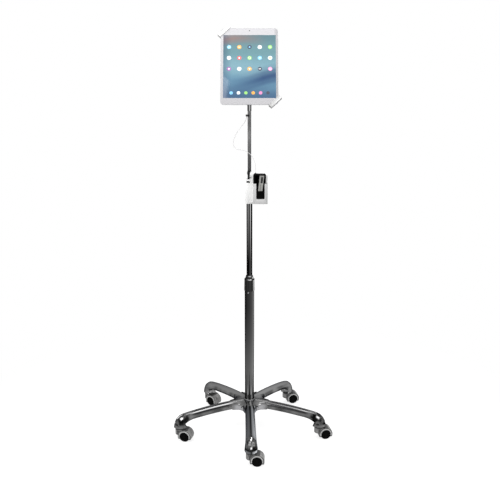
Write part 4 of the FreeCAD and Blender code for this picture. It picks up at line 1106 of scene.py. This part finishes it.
def build_neck():
    """Stretches of wound neck, each with a ball that closes the groove when the neck bends, and the fitting below."""
    sides = 48
    step = (NECK_TOP - NECK_BOTTOM) / NECK_LINKS
    rows = round(step / (sizes().rib_pitch / MM)) * 8
    ball_r = NECK_R - sizes().rib_depth / MM - PLAY
    around = [2 * math.pi * j / sides for j in range(sides)]
    arc = [math.radians(-88 + 8 * i) for i in range(23)]
    for k in range(NECK_LINKS):
        low = NECK_BOTTOM + step * k
        rings = []
        for z in (low + step * i / rows for i in range(rows + 1)):
            r = neck_radius(z)
            rings.append([Vector((r * math.cos(a), r * math.sin(a), z)) for a in around])
        shapes = [skinned(rings)]
        for z in (low, low + step) if k == 0 else (low + step,):
            middle = [(ball_r * math.cos(a), z + ball_r * math.sin(a)) for a in arc]
            shapes.append(turned([(0, z - ball_r)] + middle + [(0, z + ball_r)], sides))
        piece(f"neck_wound_{k + 1}", together(*shapes), [neck_metal], f"neck_{k + 1}", [f"neck_link_{k + 1}"],
              60.0)
    fitting = [(0, 843, 0), (7.95, 843), (7.95, 871.2), (6.1, 871.6, 0.4), (5.9, 883.0, 1.5), (7.45, 886.6, 0.8),
               (7.45, 892.4, 0.8), (6.7, 894.2, 0.4), (6.5, 896.9, 0.15), (6.1, 896.9, 0.1), (6.0, 894.8, 0.1),
               (0, 894.8, 0)]
    piece("neck_fitting", turned(softened(fitting, 0.4, 4), 96), [nut_black], "column", ["neck_socket"],
          30.0)


# Head


def build_head_stem():
    """Ferrule and stem above the neck, with the tongue and the eye of the tilt joint; its lower part is bright."""
    stem = [(0, 1087.3, 0), (5.95, 1087.3, 0.1), (6.05, 1085.2, 0.1), (6.4, 1085.2, 0.15), (6.3, 1098, 2),
            (6.6, 1103.5, 3), (9.2, 1119, 6), (9.9, 1127, 4), (9.9, 1167, 3), (8.0, 1170.5, 1), (0, 1170.5, 0)]
    eye_r, eye_half, bright_below = 8.0, 4.3, 1118.5
    tongue = block(-eye_half, eye_half, -eye_r, eye_r, 1166, TILT_PIN_Z, 0.5)
    across = laid(PIVOT, 90, "Y")
    eye = drum(eye_r, -eye_half, eye_half, 64, across, ease=0.5, arc=3)
    hole = drum(TILT_PIN_R + PLAY, -9, 9, 40, across)
    shape = carved(carved(turned(softened(stem, 0.4, 5), 112), [tongue, eye], "UNION"), [hole])
    made = piece("head_neck_end", shape, [black_fitting, bright_fitting], "head", ["head_stem"], 32.0)
    for polygon in made.data.polygons:
        if polygon.center.z < bright_below * MM:
            polygon.material_index = 1


def wing(hub_r, hub_h, reach, thick, tall):
    """A turned hub with a two-lobed wing on it."""
    hub = turned(softened([(0, 0, 0), (hub_r, 0), (hub_r * 0.92, hub_h, 1.0), (0, hub_h + 1.2, 0)], 0.6, 4), 64)
    half, low, top, saddle = reach / 2, hub_h - 1.5, hub_h + tall, hub_h + tall * 0.62
    outline = softened([
        (-half, low, 1.5), (-half - 0.6, top, 3.5), (-2.5, saddle, 2.5), (2.5, saddle, 2.5), (half + 0.6, top, 3.5),
        (half, low, 1.5), (0, hub_h - 2.5, 0),
    ], 1.0, 6)
    middle = hub_h + tall * 0.4
    skins = [(-thick / 2, 0.86), (-thick / 2 + 0.5, 0.96), (-thick / 4, 1.0)]
    skins += [(-y, grow) for y, grow in reversed(skins)]
    rings = [
        [Vector((x * (0.5 + grow / 2), y, middle + (z - middle) * grow)) for x, z in outline] for y, grow in skins
    ]
    return together(hub, skinned(rings))


def build_tilt_joint():
    """Fork of the tilt joint, its pin, its wing knob on the right, and the bolt that the holder turns on."""
    piece("tilt_fork", from_frame("tilt_block", 1.5), [black_fitting], "tilt_head", ["tilt_block"],
          32.0)
    dress("tilt_pin", plain_steel)
    fork_side = 10.3
    piece("tilt_wing_knob", wing(6.5, 8.0, 27.0, 5.0, 9.0), [black_fitting], "knob", ["tilt_knob"],
          34.0, head_place() @ laid((fork_side, 0, 0), 90, "Y"))
    dress("swivel_bolt", plain_steel)


def build_holder():
    """Bar behind the tablet, the two jaws over its corners, and the thumb screw of the sliding jaw."""
    for name, node, share, body in (
        ("bar", "holder_bar", 2.25, "holder"), ("jaw_upper", "upper_jaw", 1.75, "jaw"),
        ("jaw_lower", "lower_jaw", 1.75, "holder"),
    ):
        piece(name, from_frame(node, share), [holder_paint], body, [node], 32.0)
    bar_back, screw_up = TABLET_T - TABLET_FRONT + 8.5, 62.0
    place = diagonal_place() @ laid((0, bar_back + 1, screw_up), -90, "X")
    knob = together(wing(4.5, 4.0, 17.0, 3.5, 6.0), drum(2.5, -3.2, 0.5))
    piece("jaw_thumb_screw", knob, [black_fitting], "jaw_clamp", ["jaw_screw"], 34.0, place)


# Tablet


def slab(width, height, corner, profile, steps=8):
    """A rounded slab facing -Y, from (inset, depth) pairs through its thickness."""
    rings = []
    for inset, y in profile:
        w, h, r = width / 2 - inset, height / 2 - inset, max(corner - inset, 0.3)
        ring = []
        for quarter, (cx, cz) in enumerate(((w - r, h - r), (-w + r, h - r), (-w + r, -h + r), (w - r, -h + r))):
            for k in range(steps + 1):
                a = math.radians(90 * quarter + 90 * k / steps)
                ring.append(Vector((cx + r * math.cos(a), y, cz + r * math.sin(a))))
        rings.append(ring)
    return skinned(rings)


SCREEN_W = 159.0
SCREEN_H = 206.8
SCREEN_SIDE_STEP = 0.5
SCREEN_DROP = 1.3


def tablet_piece(name, shape, finishes, place=None, stands_for=()):
    """A piece that rides on the holder, drawn upright round the tablet's middle unless it has a place."""
    return piece(name, shape, finishes, "holder", stands_for, 30.0, place or head_place())


def build_tablet():
    """Shell, front glass, screen, lenses, keys, and the dark openings in the lower edge."""
    front, rear = -TABLET_FRONT, TABLET_T - TABLET_FRONT
    half_w, half_h = TABLET_W / 2, TABLET_H / 2
    shell = slab(TABLET_W, TABLET_H, 11.0, [
        (0.9, front + 0.8), (0.85, front + 0.05), (0.35, front), (0.0, front + 0.35), (0.0, front + 3.4),
        (0.25, front + 4.6), (1.1, front + 5.6), (2.6, rear),
    ])
    tablet_piece("tablet_shell", shell, [tablet_shell], stands_for=["tablet_case"])
    rim = 0.8
    glass = slab(TABLET_W - 2 * rim, TABLET_H - 2 * rim, 10.2, [(0.0, front + 0.8), (0.0, front + 0.15), (0.15, front)])
    tablet_piece("tablet_front_glass", glass, [tablet_border], stands_for=["tablet_glass"])

    screen = slab(SCREEN_W, SCREEN_H, 0.6, [(0.0, front + 0.3), (0.0, front - 0.02), (0.02, front - 0.03)], 2)
    screen = moved(screen, Matrix.Translation((SCREEN_SIDE_STEP, 0, -SCREEN_DROP)))
    made = tablet_piece("tablet_screen", screen, [screen_picture])
    layer = made.data.uv_layers.new(name="screen")
    back = head_place().inverted()
    for loop in made.data.loops:
        at = back @ (made.data.vertices[loop.vertex_index].co / MM)
        layer.data[loop.index].uv = ((at.x - SCREEN_SIDE_STEP) / SCREEN_W + 0.5, (at.z + SCREEN_DROP) / SCREEN_H + 0.5)

    lens = turned(softened([(0, -0.3, 0), (1.6, -0.3), (1.6, 0.02), (0, 0.03, 0)], 0.02, 2), 40)
    lens_place = head_place() @ laid((0, front - 0.02, half_h - 9.0), 90, "X")
    tablet_piece("tablet_front_lens", lens, [lens_black], lens_place)
    inset, pane_r = 14.0, 3.9
    camera = [(0, -0.5, 0), (5.2, -0.5), (5.0, 1.1, 0.4), (pane_r, 1.2, 0.2), (3.8, 0.7, 0.1), (0, 0.6, 0)]
    rear_place = head_place() @ laid((half_w - inset, rear, half_h - inset), -90, "X")
    made = tablet_piece("tablet_rear_lens", turned(softened(camera, 0.2, 3), 64), [tablet_shell, lens_black],
                        rear_place)
    for polygon in made.data.polygons:
        if (polygon.center / MM - rear_place.translation).length < pane_r:
            polygon.material_index = 1

    depth = front + 2.2, front + 4.0
    keys = [block(12 - half_w, 22 - half_w, *depth, half_h - 0.2, half_h + 0.5, 0.25)]
    keys += [block(half_w - 0.2, half_w + 0.5, *depth, z, z + 11, 0.25) for z in (66, 80)]
    tablet_piece("tablet_side_keys", together(*keys), [tablet_shell])
    edge = -half_h - 0.03, -half_h + 0.4
    holes = [block(-4.4, 4.4, front + 2.0, front + 4.2, *edge, 0.02)]
    for x in (side * (30 + 3.2 * i) for side in (-1, 1) for i in range(7)):
        holes.append(block(x - 0.8, x + 0.8, front + 2.4, front + 3.8, *edge, 0.02))
    tablet_piece("tablet_port_and_grilles", together(*holes), [lens_black])


TILE_COLOURS = {
    "tile_white": (0.80, 0.82, 0.84),
    "tile_green": (0.28, 0.58, 0.16),
    "tile_slate": (0.05, 0.06, 0.09),
    "tile_coral": (0.66, 0.12, 0.12),
    "tile_amber": (0.80, 0.38, 0.08),
    "tile_sky": (0.22, 0.52, 0.80),
    "tile_plum": (0.34, 0.14, 0.36),
    "tile_rose": (0.72, 0.24, 0.45),
}
# Each sign is its column, its row, its colour and the colour and kind of the mark on it.
TILE_PLAN = (
    (0, 0, 5, 0, "ring"), (1, 0, 4, 0, "bar"), (2, 0, 2, 5, "dot"), (3, 0, 0, 3, "ring"), (4, 0, 1, 0, "bar"),
    (0, 1, 0, 6, "bar"), (1, 1, 3, 0, "dot"), (2, 1, 1, 0, "ring"), (3, 1, 5, 0, "bar"), (4, 1, 0, 4, "dot"),
    (0, 2, 6, 0, "dot"), (1, 2, 0, 5, "ring"), (2, 2, 4, 0, "dot"), (3, 2, 2, 0, "bar"), (4, 2, 7, 0, "ring"),
)


def disc(x, z, radius, y, thick, bore=0.0):
    """A thin round mark or ring on the screen."""
    return drum(radius, 0, thick, 40, laid((x, y, z), 90, "X"), bore)


def build_screen_signs():
    """Plain round signs in a grid of five by three, and a row of smaller ones below."""
    pitch_x, pitch_z, first_row, last_row, low_pitch = 31, 36, 62, -88, 22
    finishes = [sign_finish(name, base) for name, base in TILE_COLOURS.items()]
    thick, mark_thick = 0.03, 0.02
    face = -TABLET_FRONT - 0.03
    mark_face = face - thick
    groups = {}
    for column, row, ground, mark, kind in TILE_PLAN:
        x, z = SCREEN_SIDE_STEP + pitch_x * (column - 2), first_row - pitch_z * row
        groups.setdefault(ground, []).append(disc(x, z, 6.4, face, thick))
        if kind == "ring":
            shape = disc(x, z, 3.8, mark_face, mark_thick, 2.5)
        elif kind == "dot":
            shape = disc(x, z, 2.7, mark_face, mark_thick)
        else:
            shape = block(x - 3.4, x + 3.4, mark_face - mark_thick, mark_face, z - 1.1, z + 1.1, 0)
        groups.setdefault(mark, []).append(shape)
    for i, ground in enumerate((5, 0, 1, 4, 7, 2)):
        x = SCREEN_SIDE_STEP + low_pitch * (i - 2.5)
        groups.setdefault(ground, []).append(disc(x, last_row, 5.2, face, thick))
    for ground, shapes in groups.items():
        name = list(TILE_COLOURS)[ground]
        tablet_piece(f"screen_{name}", together(*shapes), [finishes[ground]])


# Holster and scanner


def build_holster():
    """Sheet plate and pocket, the clamp on the upper tube and its two screws; the pocket is greyer than the plate."""
    pocket_before = -14.05
    made = piece("holster_sheet", from_frame("holster", 1.375), [white_paint, pocket_paint], "column", ["holster"],
                 32.0)
    for polygon in made.data.polygons:
        if polygon.center.y < pocket_before * MM:
            polygon.material_index = 1
    piece("tube_clamp", from_frame("holster_clamp", 1.25), [white_paint], "column", ["holster_clamp"],
          32.0)
    piece("tube_clamp_screws", from_frame("clamp_screws", 0.75), [plain_steel], "column", ["clamp_screws"],
          32.0)


SCANNER_LEFT = 14.4
SCANNER_RIGHT = 52.4
SCANNER_TOP = 891.5
SCANNER_HEAD_BOTTOM = 850.2
SCANNER_HEAD_OVER = 2.6
EYELET = (19.3, -24.0)


def build_scanner():
    """Body with the head that stands out to the left, eyelet, window, silver strip and button."""
    lo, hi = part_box("scanner_body")
    front, rear, low = lo.y / MM, hi.y / MM, lo.z / MM
    profile = [(4.2, front), (2.4, front + 0.35), (1.0, front + 1.4), (0.25, front + 3.0), (0.0, front + 5.0),
               (0.0, front + 9.6), (0.35, front + 9.8), (0.35, front + 10.1), (0.0, front + 10.3),
               (0.0, rear - 4.5), (0.3, rear - 2.4), (1.2, rear - 0.8), (3.0, rear)]
    wide, middle = SCANNER_RIGHT - SCANNER_LEFT, (SCANNER_LEFT + SCANNER_RIGHT) / 2
    body = moved(slab(wide, SCANNER_TOP - low, 6.5, profile), Matrix.Translation((middle, 0, (low + SCANNER_TOP) / 2)))
    head = [(inset + 0.6 if inset > 1 else inset + 0.01, y) for inset, y in profile]
    over = moved(
        slab(wide + SCANNER_HEAD_OVER, SCANNER_TOP - SCANNER_HEAD_BOTTOM, 6.0, head),
        Matrix.Translation((middle - SCANNER_HEAD_OVER / 2, 0, (SCANNER_TOP + SCANNER_HEAD_BOTTOM) / 2)),
    )
    eyelet = turned(softened([(0, 890, 0), (2.2, 890), (2.0, 893.4, 0.8), (0, 894, 0)], 0.3, 3), 40,
                    Matrix.Translation((*EYELET, 0)))
    piece("scanner_shell", together(body, over, eyelet), [scanner_black], "scanner", ["scanner_body"],
          40.0)
    window = block(27, 46, -29.5, -19.5, 890.6, 891.7, 0.3)
    piece("scanner_window", window, [scan_window], "scanner", ())
    piece("scanner_strip", from_frame("scanner_insert", 0.625), [scanner_silver], "scanner", ["scanner_insert"],
          30.0)
    button_w, button_h, button_x, button_z, button_lean = 5.6, 20.0, 39.3, 872.0, 5.5
    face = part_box("scanner_button")[0].y / MM
    button = slab(button_w, button_h, 2.7, [(0.0, face + 4.9), (0.0, face + 0.7), (0.35, face + 0.2), (1.0, face)])
    piece("scanner_trigger", button, [black_fitting], "button", ["scanner_button"], 30.0,
          laid((button_x, 0, button_z), button_lean, "Y"))


# Tether cord

# The cord's path from its clip on the neck, round the bight and across the neck's front to the eyelet
CORD_POINTS = (
    (-9.4, 0, 1068.0), (-9.4, -1.5, 1061.0), (-14.5, -7, 1051.0), (-24.0, -11, 1039.0), (-36.0, -12, 1024.0),
    (-46.5, -12, 1006.0), (-52.0, -12, 987.0), (-48.5, -12.5, 973.0), (-38.0, -13, 966.5), (-24.0, -13.5, 965.0),
    (-10.0, -14, 961.0), (1.0, -15, 953.0), (10.0, -16.5, 943.0), (16.0, -19, 931.0), (19.0, -21.5, 918.0),
    (*EYELET, 905.0), (*EYELET, 894.0),
)
CORD_DIAMETER = 1.6


def build_cord():
    """Limp white cord, and the clip that holds it on the neck."""
    curve = bpy.data.curves.new("tether", "CURVE")
    curve.dimensions = "3D"
    curve.bevel_depth = CORD_DIAMETER / 2 * MM
    curve.bevel_resolution = 4
    curve.resolution_u = 12
    curve.use_fill_caps = True
    spline = curve.splines.new("NURBS")
    spline.points.add(len(CORD_POINTS) - 1)
    for point, place in zip(spline.points, CORD_POINTS):
        point.co = (*[c * MM for c in place], 1)
    spline.order_u = 3
    spline.use_endpoint_u = True
    curve.materials.append(finish(cord_plastic))
    made = bpy.data.objects.new("tether", curve)
    bpy.context.scene.collection.objects.link(made)
    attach(made, "column")
    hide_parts("tether_cord")
    body = frame["nodes"]["cord_clip"]["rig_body"]
    piece("cord_holder", from_frame("cord_clip", 0.875), [black_fitting], body, ["cord_clip"], 32.0)


# Stage, in metres


SENSOR_MM = 36.0
FLOOR_R = 40.0
FLOOR_BELOW_WHEELS = 0.0002
FLOOR_GREY = (0.86, 0.86, 0.86)
FLOOR_GLOW = 0.16
FADE_FROM = 0.45
FADE_TO = 1.1
FADE_AT_START = 0.72
LAMPS_AIM = Vector((0, 0, 0.6))


def build_camera():
    """Camera in front of the stand, looking down at it as in the photograph."""
    stage = bpy.context.scene.stage_settings
    camera = bpy.data.cameras.new("camera")
    camera.lens = stage.camera_lens
    camera.sensor_width = SENSOR_MM
    camera.clip_end = 100.0
    made = bpy.data.objects.new("camera", camera)
    made.location = (stage.camera_side, -stage.camera_back, stage.camera_height)
    made.rotation_euler = (math.radians(90) - stage.camera_pitch, 0, 0)
    bpy.context.scene.collection.objects.link(made)
    bpy.context.scene.camera = made


def build_world():
    """Even light from all round, before a white background."""
    world = bpy.data.worlds.new("studio")
    bpy.context.scene.world = world
    world.use_nodes = True
    f = Nodes(world.node_tree)
    background = f.tree.nodes["Background"]
    background.inputs["Color"].default_value = (1, 1, 1, 1)
    strength = f.range(f.seen_rays(), 0.0, 1.0, bpy.context.scene.stage_settings.ambient, 1.0)
    f.link(strength, background.inputs["Strength"])


def floor_finish():
    """Pale near the stand, where it keeps the shadow, and fading to the white background farther out."""
    material = bpy.data.materials.new("floor_pale")
    material.use_nodes = True
    f = Nodes(material.node_tree)
    f.tree.nodes.clear()
    matt = f.node("ShaderNodeBsdfDiffuse", {"Color": FLOOR_GREY}).outputs["BSDF"]
    glow = f.node("ShaderNodeEmission", {"Strength": f.product(f.seen_rays(), FLOOR_GLOW)}).outputs["Emission"]
    near = f.node("ShaderNodeAddShader", {0: matt, 1: glow}).outputs["Shader"]
    far = f.node("ShaderNodeEmission", {"Strength": f.seen_rays()}).outputs["Emission"]
    fade = f.range(f.vector("LENGTH", f.coordinates()), FADE_FROM, FADE_TO, FADE_AT_START, 1.0)
    fade.node.interpolation_type = "SMOOTHSTEP"
    blend = f.node("ShaderNodeMixShader", {"Fac": fade, 1: near, 2: far}).outputs["Shader"]
    f.node("ShaderNodeOutputMaterial", {"Surface": blend})
    return material


def build_floor():
    """Round floor, a hair under the wheels."""
    shape = bmesh.new()
    bmesh.ops.create_circle(shape, cap_ends=True, segments=96, radius=FLOOR_R)
    mesh = bpy.data.meshes.new("floor")
    shape.to_mesh(mesh)
    shape.free()
    made = bpy.data.objects.new("floor", mesh)
    made.location.z = -FLOOR_BELOW_WHEELS
    bpy.context.scene.collection.objects.link(made)
    mesh.materials.append(floor_finish())


def build_lamps():
    """Three large soft lamps, all aimed at the middle of the stand."""
    stage = bpy.context.scene.stage_settings
    plan = (
        ("key", (-1.5, -1.7, 2.5), (1.4, 1.4), stage.key_power),
        ("fill", (1.9, -1.2, 1.7), (1.2, 1.6), stage.fill_power),
        ("top", (0.0, 0.6, 2.9), (1.6, 1.6), stage.fill_power),
    )
    for name, place, size, power in plan:
        lamp = bpy.data.lights.new(name, "AREA")
        lamp.shape = "RECTANGLE"
        lamp.size, lamp.size_y = size
        lamp.energy = power
        made = bpy.data.objects.new(name, lamp)
        made.location = place
        made.rotation_euler = (LAMPS_AIM - Vector(place)).to_track_quat("-Z", "Y").to_euler()
        bpy.context.scene.collection.objects.link(made)


def build_stage():
    """Everything round the stand that isn't part of it."""
    bpy.context.scene.view_settings.view_transform = "Standard"
    build_camera()
    build_world()
    build_floor()
    build_lamps()


# Operators and panel


class StandOperator(Operator):
    """Shared options of the stand's operators."""

    bl_options = {"REGISTER", "UNDO"}


class STAND_OT_stage(StandOperator):
    """Camera, floor, world and lamps"""

    bl_idname = "stand.stage"
    bl_label = "Stage"

    def execute(self, context):
        build_stage()
        return {"FINISHED"}


class STAND_OT_cord(StandOperator):
    """Tether cord and its clip on the neck"""

    bl_idname = "stand.cord"
    bl_label = "Tether cord"

    def execute(self, context):
        build_cord()
        return {"FINISHED"}


class STAND_OT_star_base(StandOperator):
    """Cast star base with its hub and five legs"""

    bl_idname = "stand.star_base"
    bl_label = "Star base"

    def execute(self, context):
        build_star_base()
        return {"FINISHED"}


class STAND_OT_casters(StandOperator):
    """Five hooded casters with twin wheels"""

    bl_idname = "stand.casters"
    bl_label = "Casters"

    def execute(self, context):
        build_casters()
        return {"FINISHED"}


class STAND_OT_column(StandOperator):
    """Lower and upper tube of the column"""

    bl_idname = "stand.column"
    bl_label = "Column"

    def execute(self, context):
        build_column()
        return {"FINISHED"}


class STAND_OT_twist_lock(StandOperator):
    """Twist collar, collet and screw"""

    bl_idname = "stand.twist_lock"
    bl_label = "Twist lock"

    def execute(self, context):
        build_twist_lock()
        return {"FINISHED"}


class STAND_OT_neck(StandOperator):
    """Wound neck and its lower fitting"""

    bl_idname = "stand.neck"
    bl_label = "Neck"

    def execute(self, context):
        build_neck()
        return {"FINISHED"}


class STAND_OT_head(StandOperator):
    """Stem, tilt joint and its wing knob"""

    bl_idname = "stand.head"
    bl_label = "Head"

    def execute(self, context):
        build_head_stem()
        build_tilt_joint()
        return {"FINISHED"}


class STAND_OT_holder(StandOperator):
    """Diagonal bar, corner jaws and thumb screw"""

    bl_idname = "stand.holder"
    bl_label = "Holder"

    def execute(self, context):
        build_holder()
        return {"FINISHED"}


class STAND_OT_tablet(StandOperator):
    """Tablet with its glass, screen and keys"""

    bl_idname = "stand.tablet"
    bl_label = "Tablet"

    def execute(self, context):
        build_tablet()
        build_screen_signs()
        return {"FINISHED"}


class STAND_OT_holster(StandOperator):
    """Sheet holster with its clamp on the upper tube"""

    bl_idname = "stand.holster"
    bl_label = "Holster"

    def execute(self, context):
        build_holster()
        return {"FINISHED"}


class STAND_OT_scanner(StandOperator):
    """Hand scanner in the holster"""

    bl_idname = "stand.scanner"
    bl_label = "Scanner"

    def execute(self, context):
        build_scanner()
        return {"FINISHED"}


STEPS = (
    STAND_OT_stage,
    STAND_OT_cord,
    STAND_OT_star_base,
    STAND_OT_casters,
    STAND_OT_column,
    STAND_OT_twist_lock,
    STAND_OT_neck,
    STAND_OT_head,
    STAND_OT_holder,
    STAND_OT_tablet,
    STAND_OT_holster,
    STAND_OT_scanner,
)


class STAND_PT_panel(Panel):
    """Lists the stand's pieces, sizes and colours"""

    bl_idname = "STAND_PT_panel"
    bl_label = "Tablet stand"
    bl_space_type = "VIEW_3D"
    bl_region_type = "UI"
    bl_category = "Tablet stand"

    def draw(self, context):
        for step in STEPS:
            self.layout.operator(step.bl_idname)
        for group in (context.scene.stand_sizes, context.scene.stand_colours, context.scene.stage_settings):
            for name in group.__annotations__:
                self.layout.prop(group, name)


CLASSES = (StandColours, StandSizes, StageSettings) + STEPS + (STAND_PT_panel,)


def register():
    for cls in CLASSES:
        bpy.utils.register_class(cls)
    bpy.types.Scene.stand_colours = PointerProperty(type=StandColours)
    bpy.types.Scene.stand_sizes = PointerProperty(type=StandSizes)
    bpy.types.Scene.stage_settings = PointerProperty(type=StageSettings)


def unregister():
    del bpy.types.Scene.stage_settings
    del bpy.types.Scene.stand_sizes
    del bpy.types.Scene.stand_colours
    for cls in reversed(CLASSES):
        bpy.utils.unregister_class(cls)


def main():
    """Register the add-on and build every piece."""
    register()
    for step in STEPS:
        group, name = step.bl_idname.split(".")
        getattr(getattr(bpy.ops, group), name)()


if __name__ == "__main__":
    main()
